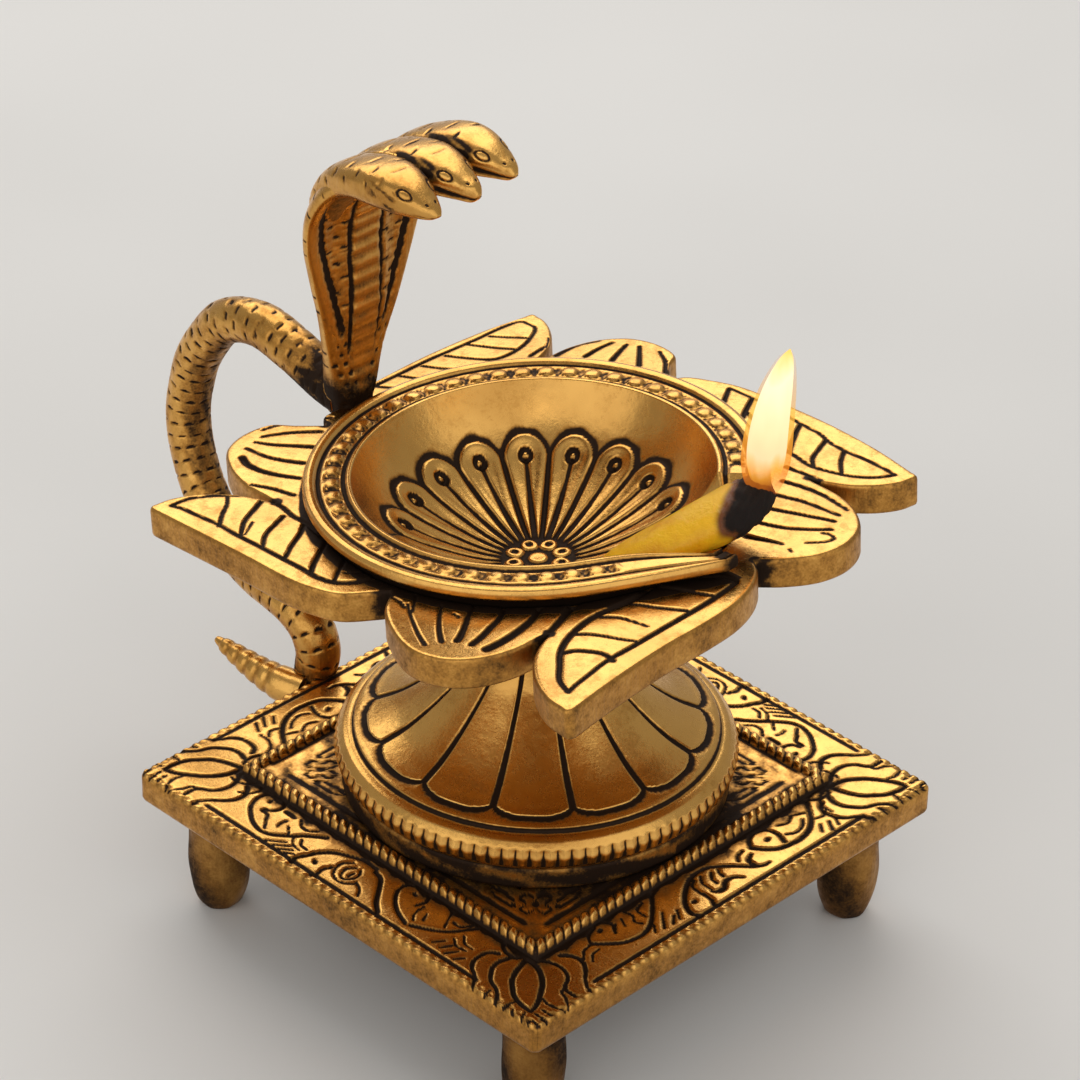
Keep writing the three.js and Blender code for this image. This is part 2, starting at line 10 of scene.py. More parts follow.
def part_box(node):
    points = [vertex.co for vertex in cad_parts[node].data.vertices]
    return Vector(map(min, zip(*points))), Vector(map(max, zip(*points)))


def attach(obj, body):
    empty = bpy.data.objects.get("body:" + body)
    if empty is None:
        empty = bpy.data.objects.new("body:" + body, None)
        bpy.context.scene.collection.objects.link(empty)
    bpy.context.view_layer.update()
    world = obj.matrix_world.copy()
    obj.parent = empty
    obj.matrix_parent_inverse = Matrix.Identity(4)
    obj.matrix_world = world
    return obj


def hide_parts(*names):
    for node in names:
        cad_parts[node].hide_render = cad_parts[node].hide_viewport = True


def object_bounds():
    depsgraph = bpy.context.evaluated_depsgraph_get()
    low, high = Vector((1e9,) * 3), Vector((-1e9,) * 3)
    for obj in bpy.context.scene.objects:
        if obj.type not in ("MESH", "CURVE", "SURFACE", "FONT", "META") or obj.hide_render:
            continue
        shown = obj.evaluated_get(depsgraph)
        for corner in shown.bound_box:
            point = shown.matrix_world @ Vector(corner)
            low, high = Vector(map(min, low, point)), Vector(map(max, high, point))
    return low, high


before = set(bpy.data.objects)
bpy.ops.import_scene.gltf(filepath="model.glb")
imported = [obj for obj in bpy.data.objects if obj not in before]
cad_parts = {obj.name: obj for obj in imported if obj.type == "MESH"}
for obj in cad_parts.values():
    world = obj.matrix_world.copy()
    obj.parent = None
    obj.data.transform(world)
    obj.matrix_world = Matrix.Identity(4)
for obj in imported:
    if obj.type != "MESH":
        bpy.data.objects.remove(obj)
cad_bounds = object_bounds()

# All lengths below are millimetres. Points are in the lamp's own frame: the origin under the middle
# of the plate, on the surface that the feet stand on.
MM = 0.001
TAU = 2 * math.pi
HAIR = 1e-6
plate_low, plate_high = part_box("chowki_plate")
OFFSET = np.array([(plate_low.x + plate_high.x) / 2, (plate_low.y + plate_high.y) / 2, 0.0]) / MM

# Chowki
PLATE_TOP = 28.0
PLATE_UNDER = 21.8
PLATE_HALF = 50.0
PLATE_CORNER = 1.6
PLATE_EDGE_ROUNDING = 0.9
FOOT_RADIUS = 5.5
FOOT_PLACE = 40.0
TIER_RISE = 1.0
TIER_EDGE = 34.6
ROPE_CREST = 35.8
ROPE_RADIUS = 1.1
ROPE_RISE = 2.0
ROPE_PITCH = 2.1
FRIEZE_START = 36.85
FRIEZE_END = 48.6
BORDER_LINE = 47.9
EDGE_BEAD_PITCH = 2.25
MOTIF_PLACE = 27.0

# Pedestal
PEDESTAL_BASE = 29.3
FLUTES = 13
FLUTE_TURN = 2.0
GADROONS = 92
SCALLOP_RADIUS = 28.4
SCALLOP_BULGE = 2.5

# Dish, the tilted group of the tray, the bowl and the wick
SEAT_HEIGHT = 66.3
DISH_TILT = (0.060, 0.023)
TRAY_TOP = 22.0
TRAY_THICKNESS = 5.75
CUP_RADIUS = 38.2
RIM_RADIUS = 39.6
LIP_RADIUS = 31.1
BOWL_RADIUS = 37.6
SPOUT_REACH = 45.4
LIP_SPREAD = 10.5
MOUTH_START = 3.0
MOUTH_END = 39.0
FLARE_START = -35.0
BEADS = 52
BEAD_CIRCLE = 34.55
BOWL_PETALS = 17
BOWL_PETAL_TURN = 97.5
BOWL_PETAL_END = 22.8
FLOOR_PETALS = 8
FLOOR_PETAL_TURN = 20.0
FLOOR_PETAL_CIRCLE = 4.4

# Serpent
BODY_RADIUS = 4.2
LOOP_REACH = 91.7
HOOD_RISE = 54.2
HOOD_HALF_WIDTH = 14.4
HOOD_THICKNESS = 5.0
HEAD_SPACING = 10.0
HEAD_HALF_WIDTH = 5.1
NECK_X = -48.0
NECK_Z = SEAT_HEIGHT + TRAY_TOP + DISH_TILT[0] * -46.0 + 0.65

# Wick and flame
WICK_TAIL = np.array([20.1, -6.4, 16.1])
WICK_DIRECTION = np.array([0.578, 0.684, 0.444])
WICK_DIRECTION /= np.linalg.norm(WICK_DIRECTION)
WICK_ASIDE = np.array([-0.764, 0.645, 0.0])
WICK_LENGTH = 33.5
FLAME_SINK = 1.6

# Columns of points round the turned and square pieces
CHOWKI_COLUMNS = 1008
PEDESTAL_COLUMNS = 736
BOWL_COLUMNS = 516
CUP_COLUMNS = 600
FOOT_COLUMNS = 64

# Lamps: name, place in metres, height that they aim at, size and power
LAMPS = (
    ("key", (-0.55, 0.35, 0.85), 0.05, 1.0, 5.6),
    ("back", (-0.80, 0.82, 0.62), 0.05, 0.9, 0.6),
    ("fill", (0.75, -0.15, 0.5), 0.06, 1.2, 2.7),
    ("front", (0.1, -0.9, 0.45), 0.05, 1.1, 2.6),
)
STUDIO_COLOUR = (0.75, 0.74, 0.72, 1)
STUDIO_STRENGTH = 0.5
FLOOR_REACH = 6.0

# The four sides of the plate and the tray, as the cosine and the sine of a quarter turn each
QUARTERS = ((1, 0), (0, 1), (-1, 0), (0, -1))


def smooth(low, high, value):
    """0 below low, 1 above high, and an even curve between them."""
    t = np.clip((np.asarray(value, float) - low) / (high - low), 0, 1)
    return t * t * (3 - 2 * t)


def most(*values):
    """The largest of several values at each point."""
    return functools.reduce(np.maximum, values)


def tilt_matrix():
    normal = np.array([-DISH_TILT[0], -DISH_TILT[1], 1.0])
    normal /= np.linalg.norm(normal)
    v = np.cross([0.0, 0.0, 1.0], normal)
    k = np.array([[0, -v[2], v[1]], [v[2], 0, -v[0]], [-v[1], v[0], 0]])
    return np.eye(3) + k + k @ k / (1 + normal[2])


TILT = tilt_matrix()


def from_dish(points):
    return points @ TILT.T + [0, 0, SEAT_HEIGHT]


def in_scene(name, data):
    """A new object that shows the data."""
    obj = bpy.data.objects.new(name, data)
    bpy.context.scene.collection.objects.link(obj)
    return obj


def camera():
    data = bpy.data.cameras.new("camera")
    data.lens = 150
    data.sensor_width = 36
    data.clip_start = 0.05
    data.clip_end = 50
    obj = in_scene("camera", data)
    right = Vector((0.70715, 0.70680, 0.01942))
    down = Vector((0.39438, -0.37147, -0.84052))
    ahead = Vector((-0.58686, 0.60203, -0.54144))
    place = Vector((475.70, -466.04, 496.94)) * MM
    obj.matrix_world = Matrix((
        (right.x, -down.x, -ahead.x, place.x),
        (right.y, -down.y, -ahead.y, place.y),
        (right.z, -down.z, -ahead.z, place.z),
        (0, 0, 0, 1),
    ))
    bpy.context.scene.camera = obj


camera()


# Materials
class Nodes:
    """A material's node tree, with a short way to add and join nodes."""

    def __init__(self, name):
        self.material = bpy.data.materials.new(name)
        self.material.use_nodes = True
        self.tree = self.material.node_tree
        self.tree.nodes.clear()
        self.out = self.tree.nodes.new("ShaderNodeOutputMaterial")

    def add(self, kind, inputs=None, **settings):
        node = self.tree.nodes.new("ShaderNode" + kind)
        for key, value in settings.items():
            setattr(node, key, value)
        for key, value in (inputs or {}).items():
            if isinstance(value, bpy.types.NodeSocket):
                self.tree.links.new(value, node.inputs[key])
            else:
                node.inputs[key].default_value = value
        return node

    def math(self, operation, a, b=0.0, clamp=False):
        return self.add("Math", {0: a, 1: b}, operation=operation, use_clamp=clamp).outputs[0]

    def total(self, first, *others):
        """The sum of its values."""
        for other in others:
            first = self.math("ADD", first, other)
        return first

    def times(self, value, factor):
        return self.math("MULTIPLY", value, factor)

    def noise(self, where, scale, detail=3.0, roughness=0.55):
        return self.add("TexNoise", {"Vector": where, "Scale": scale, "Detail": detail,
                                     "Roughness": roughness}).outputs["Fac"]

    def ramp(self, value, low, high):
        return self.add("MapRange", {"Value": value, "From Min": low, "From Max": high},
                        interpolation_type="SMOOTHSTEP").outputs["Result"]

    def mix(self, factor, a, b):
        node = self.add("Mix", data_type="RGBA")
        for socket, value in ((node.inputs[0], factor), (node.inputs[6], a), (node.inputs[7], b)):
            if isinstance(value, bpy.types.NodeSocket):
                self.tree.links.new(value, socket)
            else:
                socket.default_value = value
        return node.outputs[2]

    def finish(self, shader, **settings):
        self.tree.links.new(shader.outputs[0], self.out.inputs["Surface"])
        for key, value in settings.items():
            setattr(self.material, key, value)
        return self.material


def brass(name, polished, aged, patina_and_shade, tarnish=0.5, rough=0.25):
    """Brass whose mesh says where dark patina and painted shade lie, in the attribute grime from 0 to 1.
    Walls that stand upright carry the marks of a file."""
    n = Nodes(name)
    where = n.add("TexCoord").outputs["Object"]
    grime_and_shade = n.add("Attribute", attribute_name="grime_and_shade").outputs["Fac"]
    clouds = n.noise(where, 38, 4)
    patches = n.noise(where, 130, 4, 0.6)
    spots = n.noise(where, 520, 5, 0.68)
    pits = n.noise(where, 2300, 4, 0.6)
    speckle = n.total(n.times(patches, 0.4), n.times(spots, 0.36), n.times(pits, 0.36), -0.56)
    broken = n.total(grime_and_shade, n.times(speckle, 1.15))
    dirt_and_shade = n.ramp(broken, 0.30, 0.74)
    film = n.ramp(broken, 0.06, 0.42)
    haze = n.math("MULTIPLY", n.ramp(clouds, 0.4, 0.7), tarnish, clamp=True)
    metal = n.mix(haze, polished, aged)
    warm = n.mix(n.times(film, 0.78), metal, aged)
    colour = n.mix(dirt_and_shade, warm, patina_and_shade)
    metallic = n.math("SUBTRACT", 1.0, n.times(dirt_and_shade, 0.25))
    normal = n.add("SeparateXYZ", {0: n.add("NewGeometry").outputs["Normal"]})
    level = n.math("ABSOLUTE", normal.outputs["Z"])
    wall = n.ramp(level, 0.45, 0.15)
    uneven = n.times(n.total(spots, -0.5), 0.24)
    roughness = n.total(n.times(dirt_and_shade, 0.34), n.times(wall, 0.08), n.times(film, 0.08), uneven, rough)
    stretched = n.add("Mapping", {"Vector": where, "Scale": (1.0, 1.0, 0.06)}).outputs[0]
    filed = n.math("MULTIPLY", n.noise(stretched, 1500, 3, 0.6), n.times(wall, 2.4))
    height = n.total(n.times(pits, 0.4), spots, n.times(patches, 1.6), filed)
    bump = n.add("Bump", {"Strength": 0.4, "Distance": 0.00011, "Height": height})
    shader = n.add("BsdfPrincipled", {"Base Color": colour, "Roughness": roughness,
                                      "Metallic": metallic, "Normal": bump.outputs[0]})
    return n.finish(shader)


POLISHED = (0.81, 0.445, 0.115, 1)
AGED = (0.44, 0.195, 0.036, 1)
PATINA_AND_SHADE = (0.026, 0.012, 0.005, 1)
bright_brass = brass("bright_brass", POLISHED, AGED, PATINA_AND_SHADE)
foot_brass = brass("foot_brass", (0.46, 0.235, 0.06, 1), (0.19, 0.083, 0.02, 1), PATINA_AND_SHADE, 0.8, 0.34)
hidden_brass = brass("hidden_brass", (0.66, 0.44, 0.17, 1), (0.38, 0.21, 0.07, 1), PATINA_AND_SHADE, 0.6, 0.34)


def cotton():
    n = Nodes("ghee_cotton")
    where = n.add("TexCoord").outputs["Object"]
    char = n.add("Attribute", attribute_name="grime_and_shade").outputs["Fac"]
    cloud = n.noise(where, 160, 4)
    fibre = n.noise(where, 900, 4, 0.7)
    soaked = n.mix(n.ramp(cloud, 0.4, 0.8), (0.90, 0.50, 0.014, 1), (0.70, 0.29, 0.007, 1))
    brown = n.mix(n.ramp(char, 0.04, 0.5), soaked, (0.17, 0.05, 0.008, 1))
    burnt = n.ramp(n.total(char, n.times(n.total(fibre, -0.5), 0.5)), 0.5, 0.85)
    colour = n.mix(burnt, brown, (0.010, 0.005, 0.003, 1))
    roughness = n.total(0.24, n.times(burnt, 0.6))
    bump = n.add("Bump", {"Strength": 0.6, "Distance": 0.0004, "Height": fibre})
    shader = n.add("BsdfPrincipled", {
        "Base Color": colour, "Roughness": roughness, "Normal": bump.outputs[0],
        "Specular IOR Level": 0.3, "Subsurface Weight": 0.25, "Subsurface Scale": 0.002})
    return n.finish(shader)


wick_cotton = cotton()


# Mesh building
def grid_faces(rows, cols, wrap=False):
    i = np.arange(rows - 1)[:, None]
    j = np.arange(cols if wrap else cols - 1)[None, :]
    a = i * cols + j
    b = i * cols + (j + 1) % cols
    return np.stack([a, b, b + cols, a + cols], -1).reshape(-1, 4)


def fan_faces(ring, centre, flip=False):
    """Triangles from a ring of point numbers to one centre point."""
    ring = np.asarray(ring)
    after = np.roll(ring, -1)
    middle = np.full(len(ring), centre)
    return np.stack([after, ring, middle] if flip else [ring, after, middle], -1)


def solid(name, points, faces, grime_and_shade, material):
    """A closed smooth mesh object from points in the lamp's frame and lists of faces."""
    points = (np.asarray(points, float).reshape(-1, 3) + OFFSET) * MM
    points = np.clip(points, np.array(cad_bounds[0]) + HAIR, np.array(cad_bounds[1]) - HAIR)
    mesh = bpy.data.meshes.new(name)
    mesh.vertices.add(len(points))
    mesh.vertices.foreach_set("co", points.astype(np.float32).ravel())
    corners = np.concatenate([f.ravel() for f in faces]).astype(np.int32)
    sizes = np.concatenate([np.full(len(f), f.shape[1]) for f in faces]).astype(np.int32)
    starts = np.concatenate([[0], np.cumsum(sizes)[:-1]]).astype(np.int32)
    mesh.loops.add(len(corners))
    mesh.loops.foreach_set("vertex_index", corners)
    mesh.polygons.add(len(sizes))
    mesh.polygons.foreach_set("loop_start", starts)
    mesh.polygons.foreach_set("use_smooth", np.ones(len(sizes), bool))
    mesh.update(calc_edges=True)
    mesh.validate()
    attribute = mesh.attributes.new("grime_and_shade", "FLOAT", "POINT")
    attribute.data.foreach_set("value", np.clip(np.asarray(grime_and_shade, float).ravel(), 0, 1).astype(np.float32))
    mesh.materials.append(material)
    return in_scene(name, mesh)


def dress(obj, body, replaces=()):
    """Ties a finished piece to its body and to the nodes that it stands for."""
    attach(obj, body)
    if replaces:
        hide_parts(*replaces)
    return obj


def build(name, points, faces, grime_and_shade, material, body, replaces=(), slot=None):
    return dress(solid(name, points, faces, grime_and_shade, material), body, replaces)


def unite(objects):
    """The first object, made one skin with the others."""
    whole, *others = objects
    for other in others:
        union = whole.modifiers.new("union", "BOOLEAN")
        union.operation = "UNION"
        union.solver = "MANIFOLD"
        union.object = other
    made = whole.evaluated_get(bpy.context.evaluated_depsgraph_get())
    mesh = bpy.data.meshes.new_from_object(made)
    whole.modifiers.clear()
    whole.data = mesh
    for other in others:
        bpy.data.objects.remove(other)
    mesh.set_sharp_from_angle(angle=math.radians(65))
    return whole


def resample(points, step):
    """Points along a polyline, step apart or a little closer. Corners stay."""
    points = np.asarray(points, float)
    out = [points[:1]]
    for a, b in zip(points[:-1], points[1:]):
        count = max(1, int(math.ceil(np.linalg.norm((b - a)[:2]) / step)))
        out.append(a + (b - a) * (np.arange(1, count + 1) / count)[:, None])
    return np.concatenate(out)


def spline(points, per_span=8):
    """A centripetal Catmull-Rom curve through the points."""
    p = np.asarray(points, float)
    t = np.linspace(0, len(p) - 1, (len(p) - 1) * per_span + 1)
    return spline_at(p, t)


def spline_at(p, t):
    p = np.asarray(p, float)
    ends = np.concatenate([[2 * p[0] - p[1]], p, [2 * p[-1] - p[-2]]])
    i = np.clip(np.floor(t).astype(int), 0, len(p) - 2)
    w = (t - i)[:, None]
    p0, p1, p2, p3 = (ends[i + k] for k in range(4))
    d0, d1, d2 = (np.maximum(np.sum((b - a) ** 2, 1), 1e-12)[:, None] ** 0.25
                  for a, b in ((p0, p1), (p1, p2), (p2, p3)))
    m1 = ((p1 - p0) / d0 - (p2 - p0) / (d0 + d1) + (p2 - p1) / d1) * d1
    m2 = ((p2 - p1) / d1 - (p3 - p1) / (d1 + d2) + (p3 - p2) / d2) * d1
    c2 = -3 * p1 + 3 * p2 - 2 * m1 - m2
    c3 = 2 * p1 - 2 * p2 + m1 + m2
    return p1 + w * (m1 + w * (c2 + w * c3))


def closed_tube(points, grime_and_shade):
    """Rows of points round a body as points, faces and grime, with both ends closed."""
    rows, cols = points.shape[:2]
    count = rows * cols
    ends = np.stack([points[0].mean(0), points[-1].mean(0)])
    faces = [grid_faces(rows, cols, True), fan_faces(np.arange(cols), count, True),
             fan_faces(np.arange(count - cols, count), count + 1)]
    grime_and_shade = np.broadcast_to(grime_and_shade, (rows, cols))
    return (np.concatenate([points.reshape(-1, 3), ends]), faces,
            np.concatenate([grime_and_shade.ravel(), [grime_and_shade[0, 0], grime_and_shade[-1, 0]]]))


def turned(name, profile, cols, shape, material, body, step, ring=False, **ties):
    """A turned piece from an outline of radius and height, a ring where the outline ends at its start.
    shape(r, z, angle) moves its points and says how dark each point is, from patina and painted shade."""
    rows = resample(profile, step)
    if ring:
        rows = rows[:-1]
    angle = np.arange(cols) / cols * TAU
    r = np.repeat(rows[:, :1], cols, 1)
    z = np.repeat(rows[:, 1:2], cols, 1)
    a = np.repeat(angle[None], len(rows), 0)
    points, grime_and_shade = shape(r, z, a)
    if ring:
        made = points, [grid_faces(len(rows) + 1, cols, True) % (len(rows) * cols)], grime_and_shade
    else:
        made = closed_tube(points, grime_and_shade)
    return build(name, *made, material, body, **ties)


def polar(r, z, a):
    return np.stack([r * np.cos(a), r * np.sin(a), z], -1)


# Chased ornament
def ripple(u, v, seed=0.0):
    """An even mottle between -1 and 1 over two lengths."""
    first = np.sin(0.83 * u + 1.9 * np.sin(0.37 * v + seed) + seed)
    second = np.sin(1.13 * v - 1.4 * np.sin(0.51 * u) + 2.1 * seed)
    return (first + second + np.sin(1.71 * u + 1.27 * v + 3.3 * seed)) / 3


def carve(points, strokes, bold=1.0):
    """How far the drawn grooves sink each point, and how dark it is there. A stroke holds its half width
    at its start and its end, then x and y of its points in turn. bold widens them all."""
    sink = np.zeros(len(points))
    dark = np.zeros(len(points))
    for stroke in strokes:
        line = np.reshape(stroke[2:], (-1, 2)).astype(float)
        start_width, end_width = bold * stroke[0], bold * stroke[1]
        if len(line) > 2:
            line = spline(line, 5)
        reach = 2.6 * max(start_width, end_width)
        near = np.all((points > line.min(0) - reach) & (points < line.max(0) + reach), axis=1)
        if not near.any():
            continue
        spot = points[near][:, None]
        start, step = line[:-1], np.diff(line, axis=0)
        length = np.maximum(np.linalg.norm(step, axis=1), 1e-9)
        share = np.clip(np.sum((spot - start) * step, -1) / length ** 2, 0, 1)
        gap = np.linalg.norm(spot - start - share[..., None] * step, axis=-1)
        nearest = gap.argmin(1)
        row = np.arange(len(nearest))
        run = np.concatenate([[0], np.cumsum(length)])
        along = (run[nearest] + share[row, nearest] * length[nearest]) / run[-1]
        width = start_width + (end_width - start_width) * along
        ratio = gap[row, nearest] / width
        slope = np.clip(1.1 - ratio, 0, 1) + 0.16 * np.clip(1 - ratio / 2.6, 0, 1) ** 2
        cut = (0.14 + 0.85 * width) * slope
        sink[near] = np.maximum(sink[near], cut)
        dark[near] = np.maximum(dark[near], smooth(1.3, 0.6, ratio))
    return sink, dark


def off_whole(value):
    """How far each value lies past the nearest whole number, or before it where that is below 0."""
    return value - np.round(value)


def from_ray(count, angle, r):
    """How far points at the radius r lie from the nearest of count even rays."""
    return np.abs(off_whole(count * angle / TAU)) * TAU / count * r


def notches(phase, duty=0.5):
    """0 on the crests and 1 in the gaps of a row of ridges, one for each whole number of phase."""
    return smooth(1 - duty, 1, np.abs(np.cos(math.pi * phase)))


# Chowki plate
# The frieze's strokes, drawn along a side and out from the plate's middle: the lotus of the corners,
# then the pattern of the front and back and that of the two other sides
LOTUS = (
    (0.42, 0.36, 35.9, 38.1, 37.4, 38, 39.3, 38.5, 41.2, 39.7, 42.8, 41.2, 44, 42.8, 45.1, 44.4, 45.8,
     45.9, 46.1, 47.2),
    (0.38, 0.36, 36, 38.5, 36.6, 40.6, 37.3, 42.3, 38.3, 43.9, 39.7, 45.1, 41.2, 46.3, 43, 47, 44.5, 47.2,
     46.1, 47.2),
    (0.3, 0.25, 30.1, 37.6, 31.2, 38.8, 32.9, 39.3, 34.5, 39, 34.9, 38.1),
    (0.34, 0.26, 33.6, 39.9, 33.1, 41.6, 33.4, 43.5, 34.5, 45.1, 36, 46.5, 37.8, 47.2, 39.2, 48.2, 40,
     49.2, 40.6, 50.3, 40.9, 51.3),
    (0.34, 0.24, 31.5, 40.2, 30.1, 41.2, 29.7, 42.8, 30, 44.7, 31.2, 46.3, 32.7, 47.2, 34, 48.5, 35, 49.9,
     35.5, 51),
    (0.3, 0.28, 37.4, 36.9, 38.8, 35.9, 40.9, 35.3, 43, 35.7, 44.4, 36.7, 45.2, 38.1, 46.1, 39, 48.5,
     39.1),
    (0.36, 0.24, 39, 33.1, 40.2, 32, 41.9, 31.5, 43.7, 32, 45.2, 33.3, 46.5, 34.7, 47.8, 35.7, 49.1,
     36.2),
    (0.22, 0.2, 45.6, 38.3, 46.1, 39.9, 47.8, 40.6, 49.2, 41.6, 49.9, 42.1),
    (0.2, 0.2, 45.2, 43.5, 46.8, 43.9, 48.5, 43.5, 49.9, 42.8),
    (0.2, 0.2, 37.6, 48.2, 37.6, 51),
    (0.2, 0.2, 42.5, 47.5, 41.9, 51.2),
    (0.2, 0.2, 43.7, 48.9, 44.7, 50.6),
    (0.2, 0.2, 45.8, 48.2, 46.8, 51),
    (0.2, 0.2, 47.8, 49.2, 48.5, 51),
    (0.2, 0.2, 47.2, 45.6, 49.2, 45.6),
    (0.2, 0.2, 47.2, 47.2, 50, 47.1),
    (0.2, 0.2, 48, 48.9, 50, 48.9),
)
FRIEZE_A = (
    (0.3, 0.36, -27.1, 36.9, -28.8, 37.8, -29.4, 39.9, -28.5, 42.3, -26.7, 44, -24.7, 45.3, -22.2, 46,
     -20.1, 45.6, -18.4, 44.4, -16.8, 43, -15.3, 41.4, -13.5, 39.9, -12.3, 39.1),
    (0.3, 0.25, -25, 37.2, -24.1, 38.8, -24.7, 40.6, -26.2, 41.2),
    (0.34, 0.34, -27.1, 38.9, -27, 39.2),
    (0.35, 0.3, -22.8, 39.1, -20.5, 39.2),
    (0.3, 0.2, -26.2, 41.8, -24.7, 41.9, -23.3, 43.5, -21.9, 45.1),
    (0.22, 0.2, -19.1, 38.9, -17.7, 40.1, -16, 40.1, -14.6, 38.9),
    (0.2, 0.2, -20.8, 40.8, -21, 41.9, -20.8, 43.2),
    (0.2, 0.2, -19.3, 41.8, -17.7, 43.2),
    (0.2, 0.2, -16.3, 43.3, -14.9, 44.7, -13.1, 45),
    (0.2, 0.2, -14.9, 42.6, -13.9, 43.8, -12.1, 44),
    (0.2, 0.2, -19.2, 47.3, -16.3, 45.1),
    (0.2, 0.2, -17.8, 47.6, -14.8, 45.3),
    (0.2, 0.2, -16.3, 47.7, -13.7, 45.8),
    (0.2, 0.2, -14.8, 47.7, -12.8, 46.4),
    (0.42, 0.3, -11.5, 48.7, -11.9, 46.8, -11.1, 45.1, -10.1, 43, -8.2, 41, -5.6, 39.8, -2.8, 38.9, 0.3,
     39.1),
    (0.36, 0.36, -8.8, 45.1, -8.5, 45.5),
    (0.3, 0.25, -5.5, 44.2, -6.2, 45.8, -5.9, 47.5, -6.6, 48.7),
    (0.22, 0.2, -3.8, 40.6, -5, 42, -5, 43.7, -4.2, 45.1),
    (0.2, 0.2, -2.4, 41.2, -3.4, 42.6, -3.1, 44.2, -1.9, 45.1, -0.8, 44.2, -0.6, 42.4, -1.4, 41.2),
    (0.2, 0.2, -1.6, 42.6, -1.7, 44),
    (0.2, 0.2, -4, 45.4, -2.4, 46.1, -0.7, 45.8, 0.5, 44.7),
    (0.22, 0.2, -37.2, 39.1, -35.8, 39.3, -33.7, 38.5, -33, 36.9),
    (0.2, 0.2, -31.6, 36.6, -30.6, 38.1, -31.6, 40.2, -33, 41.2),
    (0.34, 0.4, 0.6, 39.7, 2.5, 40.3, 3.9, 41.7, 5.5, 43.7, 7, 45.5, 9.1, 47.2),
    (0.2, 0.2, 0.6, 44.2, 2.4, 45.1, 3.5, 46.6),
    (0.3, 0.34, 7.7, 37.6, 6.9, 38.9, 7.1, 40.4, 8.3, 42.2, 10.3, 44, 12.4, 45.1, 14.6, 45.9),
    (0.3, 0.25, 12.1, 37.6, 12.8, 39.2, 12.3, 41.2),
    (0.3, 0.3, 9.7, 39.1, 10.2, 39.3),
    (0.36, 0.28, 15.6, 45.7, 17.6, 44.7, 19.9, 43.3, 21.6, 41.8, 23.2, 39.5, 24.2, 38.1),
    (0.2, 0.2, 13.5, 40.4, 13.7, 42.8, 14.9, 44.4),
    (0.2, 0.2, 15.4, 41.6, 16.1, 43.2),
    (0.24, 0.2, 18, 38, 19, 40.2, 20.1, 42),
    (0.22, 0.2, 20.1, 39.9, 21.8, 39.9, 23.2, 38.1),
    (0.22, 0.2, 24.2, 41.2, 25.5, 42.5, 27.6, 42.6),
    (0.22, 0.2, 23.5, 42.9, 25, 44, 27.1, 43.8),
    (0.2, 0.2, 22.8, 44.3, 21.5, 46.2),
    (0.2, 0.2, 24.6, 44.4, 23.4, 46.3),
    (0.2, 0.2, 26.4, 44.7, 25.1, 47),
    (0.2, 0.2, 28.4, 45.3, 27.3, 46.9),
)
